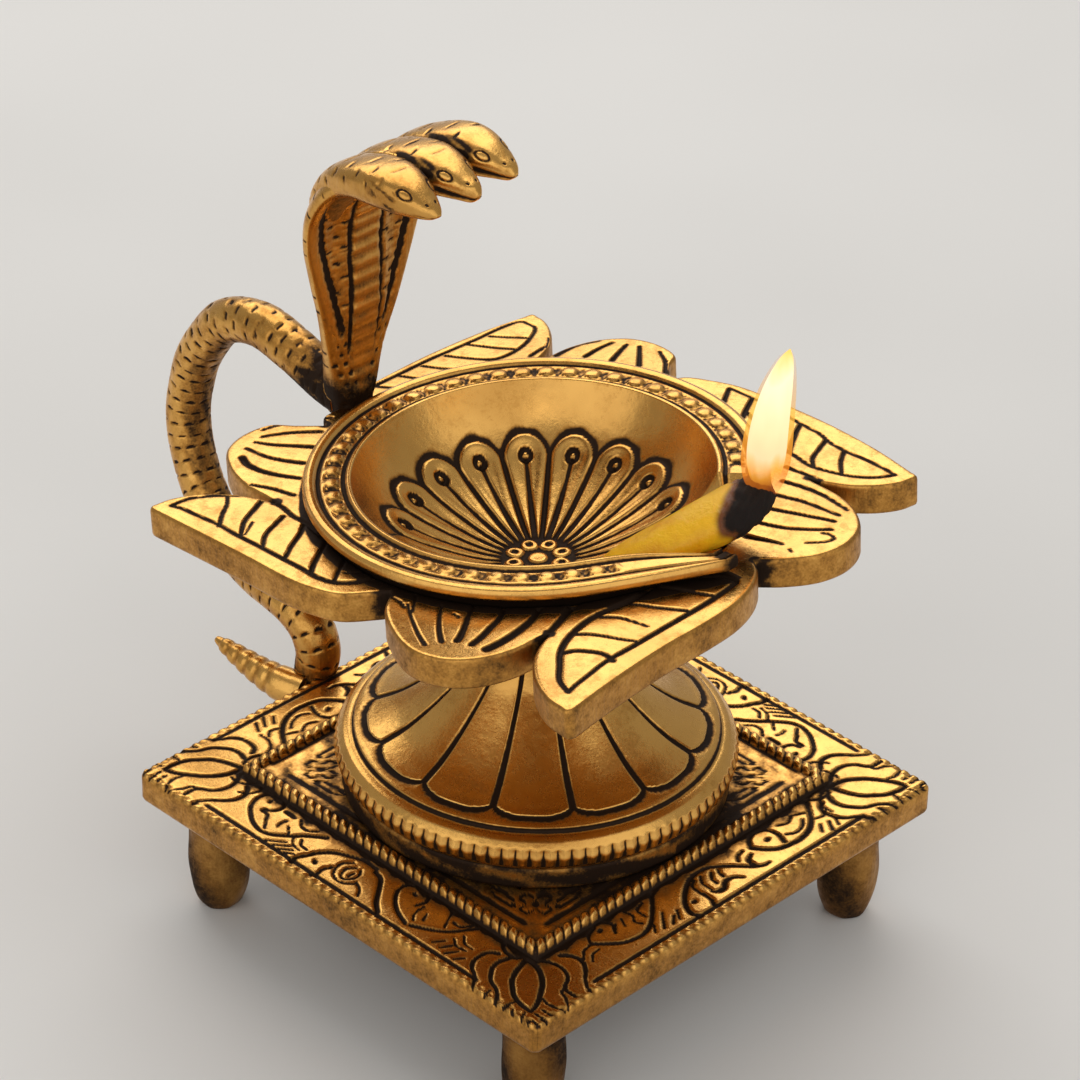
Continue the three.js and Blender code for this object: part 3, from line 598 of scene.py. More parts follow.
FRIEZE_B = (
    (0.36, 0.4, 29.8, 37.7, 28.2, 40.1, 26.4, 42.2, 23.9, 44, 21.1, 44.8, 18.4, 44.7, 15.6, 44, 13.7,
     42.3, 12.5, 40.7),
    (0.3, 0.3, 12.5, 40.7, 13.9, 38.8, 15.9, 38.1, 18.2, 38.9, 18.8, 41.2, 18, 43.6),
    (0.34, 0.34, 16.6, 40.9, 16.1, 41.1),
    (0.2, 0.2, 27, 40.2, 25.1, 39.4),
    (0.2, 0.2, 25.3, 41.2, 23.6, 42.6, 21.3, 43, 19.8, 42.2),
    (0.2, 0.2, 24.6, 39.1, 22.5, 40.1, 20.5, 39.4),
    (0.2, 0.2, 30, 41.9, 28.8, 43, 27, 42.6),
    (0.2, 0.2, 30.2, 44.4, 28.8, 46.7),
    (0.2, 0.2, 28.3, 44.7, 26.7, 47.1),
    (0.2, 0.2, 26.5, 44.3, 25, 46.2),
    (0.24, 0.2, 34, 38.1, 31.9, 39.3, 30.7, 41.2, 30.7, 43.3),
    (0.22, 0.2, 11.1, 41.9, 9.7, 42.9, 9.7, 45.3, 11.8, 45.7),
    (0.3, 0.42, 10.7, 45.7, 8.9, 44.7, 6.9, 42.6, 4.8, 40.7, 2.7, 39.3, 0.6, 39, -1.8, 39.5, -4.3, 40.9,
     -6.4, 42.6, -7.9, 44.4, -8.6, 46.4, -8, 47.6),
    (0.3, 0.34, -3.3, 43.8, -3.2, 45.7, -4, 47.2),
    (0.36, 0.36, -5.7, 44.3, -6.1, 44.4),
    (0.2, 0.2, 3.8, 40.8, 3.1, 41.9, 3, 43.1),
    (0.22, 0.2, 2.3, 40.6, 0.9, 42.2, 0.7, 43.6),
    (0.22, 0.2, 0, 40.2, -1.1, 41.8, -1.2, 44),
    (0.24, 0.22, -1.6, 40.2, -3, 41.2, -3.4, 43.6),
    (0.2, 0.44, 5.3, 45.6, 3.8, 44.2, 2, 44.2, 0.6, 45.3, -0.6, 45.3),
    (0.44, 0.2, -0.6, 45.3, -1.1, 45, -1.6, 44.4),
    (0.22, 0.2, 10.7, 40.2, 8.9, 40.7, 7.9, 41.9),
    (0.22, 0.2, 10.8, 42, 9.4, 42.7, 8.9, 44),
    (0.2, 0.2, -9.8, 44, -11.2, 46),
    (0.2, 0.2, -11.3, 44.7, -13, 46.2),
    (0.2, 0.2, -12, 42.6, -15, 46),
    (0.2, 0.2, -15.5, 44, -16.9, 45.7),
    (0.36, 0.38, -9.5, 37.6, -11.2, 39.5, -13.4, 41.6, -15.5, 43.3, -17.8, 44.4, -20.2, 44.5, -22.8, 43.9,
     -25.1, 42.2, -26.9, 40.5),
    (0.2, 0.2, -12.6, 38.4, -14.8, 39.4, -14.9, 41.6),
    (0.2, 0.2, -16.8, 38.1, -16.4, 39.8, -17.3, 41.2, -16.7, 42.6),
    (0.2, 0.2, -18.5, 39.2, -19.3, 40.9),
    (0.2, 0.2, -20.2, 39.4, -22, 41.2),
    (0.3, 0.25, -21.3, 37.7, -20.7, 39.2, -21.6, 40.6),
    (0.3, 0.25, -23.7, 37.7, -25.8, 38.5, -27, 40.2),
    (0.38, 0.38, -23.2, 38.8, -23.6, 39),
    (0.22, 0.2, -27.5, 40.5, -29.3, 40.9, -31.1, 42.6),
    (0.2, 0.2, -27.1, 42.3, -28.9, 42.6, -30.3, 44),
)


def rosette(s, t):
    """A small four-leaved flower in each inner corner of the tier, with a leaf on either side."""
    x, y = s - MOTIF_PLACE, t - MOTIF_PLACE
    reach, angle = np.hypot(x, y), np.arctan2(y, x)
    outline = smooth(0.5, 0.22, np.abs(reach - 3.3 * np.abs(np.cos(2 * angle)) ** 0.7))
    dot = smooth(0.85, 0.5, reach)
    along, out = np.abs(s - t) / math.sqrt(2) - 5.6, np.maximum(s, t) - 29.6
    flank = 0.9 * np.sqrt(np.clip(1 - (along / 2.2) ** 2, 0, 1))
    leaf = smooth(0.42, 0.2, np.abs(np.abs(out) - flank)) * (np.abs(along) < 2.2)
    return np.maximum(np.maximum(outline * (reach < 3.5), dot), leaf)


def quarter_turns(points, copy):
    c, s = QUARTERS[copy]
    points = np.asarray(points, float)
    return np.stack([c * points[..., 0] - s * points[..., 1], s * points[..., 0] + c * points[..., 1]], -1)


def square_ring(half, cols, corner):
    """Points evenly round a square of the given half side, with rounded corners."""
    quarter = cols // 4
    s = (np.arange(quarter) + 0.5) / quarter * 2 - 1
    x = s * half
    y = np.full_like(x, -half)
    cut = np.clip(np.abs(x) - (half - corner), 0, corner)
    y = -half + corner - np.sqrt(np.maximum(corner ** 2 - cut ** 2, 0))
    x = np.sign(x) * (np.minimum(np.abs(x), half - corner) + cut)
    return np.concatenate([quarter_turns(np.stack([x, y], -1), side) for side in range(4)])


def chowki():
    cols = CHOWKI_COLUMNS
    halves = np.concatenate([
        np.linspace(6, 22, 5),
        np.arange(23, 33.6, 0.5),
        np.arange(33.7, 37.4, 0.22),
        np.arange(37.4, PLATE_HALF - 1.2, 0.29),
        np.arange(PLATE_HALF - 1.1, PLATE_HALF - 0.1, 0.2),
    ])
    top = np.stack([square_ring(h, cols, max(0.0, h - PLATE_HALF + PLATE_CORNER)) for h in halves])
    x, y = top[..., 0], top[..., 1]
    half = np.maximum(np.abs(x), np.abs(y))
    rise, grime_and_shade = chowki_relief(x, y, half)
    edge = PLATE_HALF - half
    soft = PLATE_EDGE_ROUNDING
    rounding = np.where(edge < soft, soft - np.sqrt(np.maximum(soft ** 2 - (soft - edge) ** 2, 0)), 0)
    rows = [np.concatenate([top, (PLATE_TOP + rise - rounding)[..., None]], -1)]
    dirt_and_shade = [grime_and_shade]
    down = [(0, 0.95), (0, 2.6), (0, 4.6), (0, 5.3), (0.25, 5.85), (0.7, 6.15), (1.4, 6.2), (12, 6.2),
            (40, 6.2)]
    for inset, depth in down:
        ring = square_ring(PLATE_HALF - inset, cols, max(0.0, PLATE_CORNER - inset))
        x, y = ring.T
        stain = 0.38 + 0.05 * ripple(0.35 * (x + y), 0.35 * (x - y), depth)
        rows.append(np.concatenate([ring, np.full((cols, 1), PLATE_TOP - depth)], -1)[None])
        dirt_and_shade.append((stain if inset < 1 else stain + 0.3)[None])
    made = closed_tube(np.concatenate(rows), np.concatenate(dirt_and_shade))
    return build("chowki_plate_chased", *made, bright_brass, "lamp", replaces=("chowki_plate",),
                 slot="brass")


def side_frame(x, y, side):
    """How far points lie along a side of the plate, and how far out towards it."""
    c, q = QUARTERS[side]
    return c * x + q * y, q * x - c * y


def chowki_relief(x, y, half):
    """The rise of the plate's top and where it is dark: the tier, the rope, the frieze and its border."""
    rise = TIER_RISE * (1 - smooth(TIER_EDGE - 0.2, TIER_EDGE + 0.2, half))
    grime_and_shade = np.zeros_like(x)
    radius = np.hypot(x, y)
    mottle = ripple(x, y)
    for side in range(4):
        s, t = side_frame(x, y, side)
        mine = (t >= np.abs(s) - 1e-6)
        lean = (-0.7, 0.7)[side % 2]
        near_side = side < 2
        # Rope
        across = (t - ROPE_CREST) / (ROPE_RADIUS + 0.1)
        strand = (s + lean * (t - ROPE_CREST)) / ROPE_PITCH
        gap = notches(strand, 0.5)
        cut = smooth(0.2, 0.08, np.abs(off_whole(strand)))
        on_rope = mine & (np.abs(across) < 1)
        rope = (ROPE_RISE + 0.08 - 0.24 * gap - 0.25 * cut) * np.sqrt(np.maximum(1 - across ** 4, 0))
        rise = np.where(on_rope, np.maximum(rise, rope), rise)
        grime_and_shade = np.where(on_rope, 0.75 * cut + 0.5 * smooth(0.75, 1, np.abs(across)), grime_and_shade)
        # Tier with its incised line, a mottled tone, and painted shade round the pedestal's foot, deepest on
        # the +X side, and at the foot of the rope
        line = 32.2 if near_side else 34.1
        incised = smooth(0.55, 0.2, np.abs(t - line)) * smooth(line - 1, line - 3, np.abs(s))
        inner = mine & (t < TIER_EDGE)
        tier_tone_and_shade = 0.34 + 0.2 * mottle + (0.42 if side == 1 else 0.22) * smooth(41, 35.5, radius)
        tier_tone_and_shade = tier_tone_and_shade + 0.3 * smooth(33.2, TIER_EDGE, t)
        grime_and_shade = np.where(inner, np.maximum(tier_tone_and_shade, incised * 0.95), grime_and_shade)
        rise = np.where(inner, rise - 0.3 * incised, rise)
        # Black field beside the rope: patina with the rope's shadow painted in, reaching further out on the
        # two near sides, where that shadow falls; and the frieze's ground
        field_and_shadow_edge = 37.8 + 0.5 * mottle + (0.4 if side in (0, 1) else -0.2)
        field = mine & (t >= FRIEZE_START)
        ground = 0.1 + 0.07 * mottle + 0.42 * smooth(field_and_shadow_edge + 2.4, field_and_shadow_edge, t)
        border = smooth(0.6, 0.25, np.abs(t - BORDER_LINE)) * smooth(35, 33.6, np.abs(s))
        slant = (0.5, -0.5)[side % 2] * (t - 49.3)
        bead = smooth(48.5, 48.8, t) * notches((s + slant) / EDGE_BEAD_PITCH, 0.42)
        ground = most(ground, smooth(field_and_shadow_edge + 0.3, field_and_shadow_edge - 0.3, t), border, 0.5 * bead)
        ground = np.where(t > FRIEZE_END, np.minimum(ground, 0.5 * bead + 0.1), ground)
        grime_and_shade = np.where(field, ground, grime_and_shade)
        sunk = 0.35 * border + 0.34 * bead + 0.18 * smooth(field_and_shadow_edge, field_and_shadow_edge - 0.6, t)
        rise = np.where(field, rise - sunk, rise)
    for side in range(4):
        s, t = side_frame(x, y, side)
        frieze = (t >= np.abs(s) - 1e-6) & (t > 36.8) & (t < FRIEZE_END)
        lotus = (s > 28) & (t > 28) & (np.maximum(s, t) > 36.9)
        pattern = FRIEZE_B if side % 2 else FRIEZE_A
        shift = -4.0 if side == 3 else 0.0
        for where, strokes, bold, moved in ((frieze, pattern, 1.25, shift), (lotus, LOTUS, 1.35, 0.0)):
            sink, dark = carve(np.stack([s[where] - moved, t[where]], -1), strokes, bold)
            rise[where] -= sink
            grime_and_shade[where] = np.maximum(grime_and_shade[where], dark)
        motif = (s > 18) & (t > 18) & (np.maximum(s, t) < 31.4) & (radius > 34)
        flower = rosette(s[motif], t[motif])
        rise[motif] -= 0.28 * flower
        grime_and_shade[motif] = np.maximum(grime_and_shade[motif] * 0.8, 0.95 * flower)
    return rise, grime_and_shade


def foot_piece(corner, x, y):
    h = PLATE_UNDER - 0.3
    profile = np.concatenate([
        [[0.4, 0]],
        spline([[FOOT_RADIUS * s, h * t] for s, t in (
            (0.55, 0), (0.66, 0.012), (0.8, 0.08), (0.94, 0.22), (1, 0.42), (0.99, 0.6), (0.97, 0.75),
            (0.98, 1))], 6),
        [[2.5, h], [2.5, h + 2.3], [0.4, h + 2.3]],
    ])

    def shape(r, z, a):
        lumps = 0.09 * np.sin(3 * a + 0.35 * z + x) + 0.06 * np.sin(7 * a - 0.6 * z + y)
        body = (r > 2.6) & (z < h - 0.1)
        r = r + np.where(body, lumps, 0)
        dark = 0.42 + 0.22 * np.sin(2 * a + 0.21 * z + y) + 0.2 * smooth(0.7 * h, h, z)
        p = polar(r, z, a)
        return p + [x, y, 0], np.where(body, dark, 0.8)

    return turned(f"foot_{corner}_turned", profile, FOOT_COLUMNS, shape, foot_brass, "lamp", 0.7,
                  replaces=(f"foot_{corner}",), slot="aged_brass")


# Pedestal
def pedestal_piece():
    z0 = PEDESTAL_BASE
    foot = [[34.2, 0], [34.5, 0.3], [34.5, 3.6], [34.2, 4.0], [34.6, 4.3], [35.4, 5.2], [35.9, 7],
            [35.3, 8.8], [34.2, 9.8], [33.4, 10.1], [32.8, 10.2], [32.2, 10.7], [32.4, 11.2], [31.6, 11.6],
            [30, 12.1], [28.6, 12.6]]
    cone = spline([[28.6, 12.6], [24.9, 14.4], [20.9, 17.2], [16, 21.6], [12.2, 26], [10.2, 30.6],
                   [9.6, 33.6], [10.2, 37]], 6)
    inside = [[3.4, 37], [3.4, 28.6], [8.4, 23.6], [13.0, 19.6], [17.9, 14.8], [25.6, 10.2], [31.5, 4],
              [31.5, 0], [34.2, 0]]
    outer = np.concatenate([resample(foot, 0.42), resample(cone, 0.9)[1:]])
    profile = np.concatenate([outer, inside])
    turn = math.radians(FLUTE_TURN - 90)

    def shape(r, z, a):
        outside = np.zeros_like(r, bool)
        outside[:len(outer)] = True
        offset = np.abs(off_whole(FLUTES * (a - turn) / TAU))
        from_line = offset * TAU / FLUTES * r
        # Flute lines from the scallops' meeting points up to the neck
        half_line = 0.38 + 0.3 * smooth(14, 28.6, r)
        line = (z > 12.3) * (z < 30.5) * smooth(1.3, 0.6, from_line / half_line)
        # Scallops between them
        middle = np.abs(offset - 0.5) * 2
        arc = SCALLOP_RADIUS + SCALLOP_BULGE * np.sqrt(np.clip(1 - middle ** 2.4, 0, 1))
        scallop = (z > 11.2) * (z < 14.5) * (r < 31.9) * smooth(0.85, 0.4, np.abs(r - arc))
        cut = outside * np.maximum(line, scallop)
        # Gadroons, each cut by a short slot with rounder ends
        from_slot = from_ray(GADROONS, a, r)
        half_slot = 0.2 + 0.2 * smooth(8.6, 5.2, z) + 0.06 * ripple(40 * a, z, 3)
        slot = smooth(1.35, 0.6, from_slot / half_slot) * smooth(4.5, 5.1, z) * smooth(8.9, 8.2, z)
        slot = outside * (z < 10) * slot
        swell = outside * notches(GADROONS * a / TAU, 0.9) * smooth(4.1, 5.2, z) * smooth(9.3, 8.0, z)
        groove = 0.62 * cut + (0.22 * slot + 0.24 * swell)
        shoulder = (z > 10) * smooth(0.62, 0.3, np.abs(z - 10.75))
        # Painted shade on the plinth under the overhanging gadroon ring, mottled
        painted_plinth_shade = (0.68 + 0.3 * ripple(9 * a, 1.3 * z)) * smooth(4.9, 4.2, z)
        grime_and_shade = most(0.1 + 0.1 * ripple(6 * a, 0.4 * z), cut, shoulder, smooth(30.4, 36.5, z), slot, painted_plinth_shade)
        lean = smooth(28.6, 37, z) * (DISH_TILT[0] * r * np.cos(a) + DISH_TILT[1] * r * np.sin(a))
        return polar(r - groove, z + lean + z0, a), np.where(outside, grime_and_shade, 0.6)

    return turned("pedestal_fluted", profile, PEDESTAL_COLUMNS, shape, bright_brass, "lamp", 99, True,
                  replaces=("pedestal",), slot="brass")


# Petal tray
# The strokes on all eight petals, drawn from above
PETAL_STROKES = (
    (0.55, 0.5, 45.1, 0, 45.5, -3.9, 45.8, -8.2, 45.8, -13.3, 45.8, -17.6, 45.8, -20.5, 45.8, -24.4, 45.7,
     -28.7),
    (0.42, 0.36, 45.7, -28.7, 45.8, -32.1, 46.4, -35.9, 47, -39.8, 47.5, -41.7),
    (0.75, 0.42, 35.5, -10.3, 35.9, -13.3, 35.7, -16.7, 35, -21, 34.9, -24.4, 35.5, -27.8, 36.6, -31.2,
     38.3, -34.2, 41.1, -37.2, 44.1, -40.2, 47.5, -41.7),
    (0.36, 0.5, 45.1, -5.4, 43.2, -6.2, 40.6, -7.3, 38.5, -8.2, 36.8, -9.2),
    (0.4, 0.34, 45.1, -11.6, 42.8, -12.9, 40.2, -14.4, 37.9, -15.4, 36.6, -16.3),
    (0.26, 0.4, 43.4, -19.3, 41.1, -19.7, 38.5, -20.3, 36.8, -21.4, 35.7, -22.3),
    (0.3, 0.42, 45.1, -23.8, 43.2, -24.8, 40.6, -25.9, 38.1, -27.2, 36.4, -28.7),
    (0.5, 0.5, 46.4, -30.4, 44.1, -29.9, 41.9, -30.8, 39.8, -32.3, 38.7, -34.2),
    (0.5, 0.5, 44.7, 0.6, 42.3, -0.1, 39.9, -2.4),
    (0.36, 0.5, -44.2, -45.5, -42, -44.9, -38.6, -44.7, -33.5, -44.3, -27.9, -44.5, -22.4, -44.4, -17.2,
     -44.5, -12.5, -44.5, -8.3, -44.7),
    (0.5, 0.7, -8.3, -44.7, -5.3, -44.1, -2.7, -42.1, -1.4, -40.1, -0.6, -37.9),
    (0.4, 0.5, -44.2, -45.5, -43.7, -42.3, -42, -39.4, -39.5, -36.8, -36.9, -34.6, -33.5, -33.4, -29.6,
     -33.2, -25.8, -34, -22.4, -34),
    (0.55, 0.4, -22.4, -34, -18.1, -35.1, -13.8, -35.9, -9.5, -36.8, -5.3, -37.2, -1.4, -36.8),
    (0.3, 0.4, -39.5, -36.8, -37.3, -38.9, -35.2, -41.9, -33, -44.5),
    (0.5, 0.36, -33.7, -34.2, -32.4, -37.2, -30.9, -40.6, -27.9, -44.1),
    (0.2, 0.2, -29.6, -39.9, -27.5, -43.6),
    (0.45, 0.36, -27.1, -35.1, -26.2, -37.6, -24.9, -41.1, -22.4, -44.1),
    (0.45, 0.36, -22.4, -34.6, -20.6, -37.2, -18.9, -40.6, -16.8, -44.1),
    (0.4, 0.5, -15.1, -36.4, -13.4, -39.4, -11.7, -42.3, -10, -44.5),
    (0.35, 0.35, -9.1, -37.2, -7.4, -40.2, -5.1, -43.8),
    (0.2, 0.2, -5.7, -40.7, -3.3, -38.7),
    (0.2, 0.4, 9.1, -40.4, 11.8, -42.4, 15, -44.4, 17.4, -45.8, 20.3, -47.2),
    (0.3, 0.5, 13.8, -37.2, 15.8, -39.6, 18.2, -42, 20.6, -44, 21.6, -44.7),
    (0.42, 0.62, 17.8, -33.7, 19, -36, 21, -38.8, 23, -42, 23.3, -42.8),
    (0.55, 0.62, 21.4, -30.1, 23.3, -32.9, 24.5, -36.4, 25.5, -39.6, 25.9, -42),
    (0.6, 0.85, 25.3, -25.7, 27.1, -28.5, 28.3, -32.1, 28.9, -36.4, 28.9, -39.6, 28.7, -41.4),
    (0.9, 0.35, 29.3, -21.4, 30.9, -25.7, 32.3, -29.7, 33.5, -33.3, 34.8, -36.6),
    (0.25, 0.25, 7.1, -36.4, 9.5, -39.2, 11.5, -41.7),
    (0.22, 0.3, 5.5, -40.7, 7.5, -40.8, 9.5, -41.5),
    (0.2, 0.2, 17, -37.4, 18.5, -37.7),
    (0.4, 0.4, 25.9, 33.3, 27.8, 33.3, 30.3, 33.6, 35.3, 33.8),
    (0.55, 0.32, 28.8, 29.4, 32, 30, 34.8, 30.3, 37.6, 30.3, 40.3, 29.9, 43.4, 29.4),
    (0.5, 0.34, 30.6, 25.1, 33.1, 25.8, 35.6, 26.5, 38.1, 26.8, 40.9, 27, 43.5, 27.2),
    (0.5, 0.42, 33.1, 21.1, 35.3, 21.9, 37.8, 22.9, 40.3, 23.8, 42.6, 24.7, 44.2, 25.2),
    (0.5, 0.42, 34.5, 16.5, 37, 17.2, 39.8, 18.4, 42, 19.9, 44.2, 21.6, 45.6, 22.9),
    (0.7, 0.25, 36.4, 12, 38.4, 12.6, 40.6, 13.4, 42.7, 14),
    (0.25, 0.32, 45.3, 16.9, 46.4, 18, 47.6, 19.5, 47.9, 21, 46.6, 21.6, 45.3, 21.1),
    (0.2, 0.2, 44.5, 13.6, 45.4, 13.2),
    (0.3, 0.36, -0.1, 46.9, 4.8, 47.1, 10.4, 47, 15.9, 46.1, 19.8, 45.7, 22.8, 45.4, 25.8, 44.4, 29.6,
     43.9, 34.7, 44, 39.9, 43.7, 41.8, 43.4),
    (0.36, 0.4, 41.8, 43.4, 40.3, 41.1, 38.2, 39.2, 35.2, 37.7, 30.5, 36.4, 28.8, 36.2, 24.5, 37, 18.5,
     38.3, 12.5, 40.9, 8.2, 42.6),
    (0.4, 0.32, 30, 43.7, 31.7, 40.9, 34.7, 37.7),
    (0.42, 0.34, 25.1, 44.3, 26.2, 41.3, 27.5, 38.3, 29.6, 36.2),
    (0.45, 0.36, 18.1, 45.4, 19.4, 43, 21.5, 39.6, 23.2, 37.1),
    (0.4, 0.36, 11.9, 46.5, 13.4, 43.3, 15.3, 40.3),
    (0.5, 0.45, 5.5, 46.9, 7, 43.9, 8.8, 40.8),
    (0.4, 0.45, 0.1, 46.7, 1.2, 44.8, 2.5, 42.8),
    (0.3, 0.3, 26.2, 33, 30.5, 33.6, 35.6, 33.6, 39, 33.4, 41.1, 32.4),
    (0.36, 0.5, -29.9, 44.3, -31.4, 41.3, -31.7, 38.6, -31.7, 35.2),
    (0.36, 0.5, -27.4, 45.4, -27.7, 42.3, -27.5, 38.5),
    (0.36, 0.55, -24.9, 46.4, -24, 43.6, -22.9, 40.6),
    (0.36, 0.5, -22.7, 47.5, -20.3, 45, -17.9, 42.4),
    (0.3, 0.5, -18.6, 48.5, -15.2, 46.4, -12.5, 43.6),
    (0.36, 0.45, -46.1, 39.2, -46.7, 34.9, -46.9, 30.2, -47.4, 24.7, -47.9, 19.1, -48.1, 12.6, -48.3, 6.1,
     -48.3, 1.5),
    (0.3, 0.45, -45.3, 40.3, -42.1, 40.2, -40, 37.2, -38.8, 33.9, -38.4, 30.2, -39, 27.2, -40, 26),
    (0.3, 0.3, -46.1, 39.2, -45.3, 40.3),
    (0.3, 0.3, -40.2, 36.5, -43, 34.4, -45.9, 32.4),
    (0.36, 0.34, -38.9, 32.1, -42.5, 29.8, -46.7, 27.7),
    (0.36, 0.34, -40, 26, -43, 24.1, -46.7, 22.1),
    (0.36, 0.34, -40.7, 20.5, -43.9, 18.4, -47.2, 16.7),
    (0.36, 0.34, -41.4, 15.4, -44.4, 13.1, -47.6, 11.5),
    (0.36, 0.34, -42.1, 9.9, -44.9, 8, -47.9, 6.1),
    (0.3, 0.4, -37.2, 39.2, -35.8, 37.4, -35.4, 34.6, -35.1, 32.1),
    (0.4, 0.3, -45.8, -6.8, -48, -9.4, -49.9, -12.4, -51, -15, -51.7, -17.7),
    (0.5, 0.36, -43.6, -11.3, -45.8, -13.5, -48, -16.1, -50, -19.4),
    (0.6, 0.36, -40.6, -15.8, -43.6, -17.9, -46.5, -20, -49.5, -21.4),
    (0.6, 0.34, -37.8, -20.7, -41, -22.4, -44.3, -23.5, -49.1, -23.9),
    (0.5, 0.7, -34.5, -24.7, -38, -26.4, -41.3, -27.4, -44.7, -27.5, -47.3, -26.5),
    (0.5, 0.4, -31, -29.2, -35.4, -30.2, -39.1, -31.7),
)

# For each quarter: how far the leaf's flank and its tip lie off their even places, where the leaf meets
# the round petal, and how much further that petal reaches
PETAL_CUTS = (
    (0.7, (2.6, 0.9), (42.6, 7.2), -0.2),
    (0.1, (-3.0, 0.0), (42.7, 10.5), -0.5),
    (0.4, (-2.6, -1.2), (44.7, 9.2), 2.3),
    (-0.9, (-0.6, 1.9), (39.5, 4.2), -1.1),
)
PETAL_SHIFT = np.array([1.3, 0.5])
LEAF_REACH, LEAF_TIP_DROP, ROUND_REACH, ROUND_OFFSET, NOTCH_RADIUS = 49.2, 45.4, 50.9, 21.0, 45.5
NOTCH = np.array([NOTCH_RADIUS * math.cos(0.809), NOTCH_RADIUS * math.sin(0.809)])


def petal_outline():
    """The tray's outline in the dish's frame, as one closed list of points."""
    whole = []
    for copy, (leaf, tip, heel, bulge) in enumerate(PETAL_CUTS):
        side = LEAF_REACH + leaf
        corner = np.array([LEAF_REACH + tip[0], -LEAF_TIP_DROP - tip[1]])
        before, after = corner + [-1.8, 0.5], corner + [-0.05, 1.9]
        t = np.linspace(0, 1, 9)[:, None]
        whole.append(quarter_turns((1 - t) ** 2 * before + 2 * t * (1 - t) * corner + t ** 2 * after, copy))
        reach = ROUND_REACH + bulge
        flank = spline([after, [side + 0.4 * (corner[0] - side), 0.75 * corner[1]], [side, 0.48 * corner[1]],
                        [side + 0.1, 0.24 * corner[1]], [side - 0.4, heel[1] - 11.5],
                        [side - 2.2, heel[1] - 5.8], [heel[0] + 2.4, heel[1] - 1.8], heel], 10)
        lobe = spline([heel, [heel[0] + 0.46 * (reach - heel[0]), heel[1] + 3.4],
                       [reach - 1, ROUND_OFFSET - 5.5], [reach, ROUND_OFFSET],
                       [reach - 1.7, ROUND_OFFSET + 5.3],
                       [NOTCH[0] + 0.69 * (reach - NOTCH[0]), ROUND_OFFSET + 9.2],
                       [NOTCH[0] + 0.4 * (reach - NOTCH[0]), ROUND_OFFSET + 11.3],
                       [NOTCH[0] + 2.1, NOTCH[1] - 0.2], NOTCH], 10)
        after_cut = PETAL_CUTS[(copy + 1) % 4]
        next_tip = np.array([LEAF_TIP_DROP + after_cut[1][1], LEAF_REACH + after_cut[1][0]])
        next_before = quarter_turns([LEAF_REACH + after_cut[1][0] - 1.8,
                                     -LEAF_TIP_DROP - after_cut[1][1] + 0.5], 1)
        inside = spline([NOTCH] + [NOTCH + (next_tip - NOTCH) * [u, v] for u, v in (
            (0.27, 0.08), (0.52, 0.21), (0.77, 0.44), (0.93, 0.7))] + [next_before], 10)
        for part in (flank, lobe, inside):
            whole.append(quarter_turns(part[1:], copy))
    return np.concatenate(whole)[:-1] + PETAL_SHIFT


def even_ring(points, step):
    """A closed ring resampled to even steps."""
    closed = np.concatenate([points, points[:1]])
    lengths = np.concatenate([[0], np.cumsum(np.linalg.norm(np.diff(closed, axis=0), axis=1))])
    count = int(lengths[-1] / step)
    at = np.arange(count) / count * lengths[-1]
    return np.stack([np.interp(at, lengths, closed[:, k]) for k in range(2)], -1)


def inset_ring(ring, distance):
    """A closed ring moved inwards by a small distance."""
    tangent = np.roll(ring, -1, 0) - np.roll(ring, 1, 0)
    tangent /= np.linalg.norm(tangent, axis=1)[:, None]
    return ring + np.stack([-tangent[:, 1], tangent[:, 0]], -1) * distance


def stitch(first, second):
    after_a, after_b = np.roll(first, -1), np.roll(second, -1)
    return np.stack([first, after_a, after_b, second], -1)


def fill(points, loops):
    """Triangles between closed loops, through all the points. Also where each given point is in them."""
    made = geometry.delaunay_2d_cdt([Vector(p) for p in points], loops, [], 2, 1e-7)
    place = np.zeros(len(points), int)
    for new, given in enumerate(made[3]):
        place[given] = new
    return np.array([f for f in made[2] if len(f) == 3]), place, np.array([list(v) for v in made[0]])


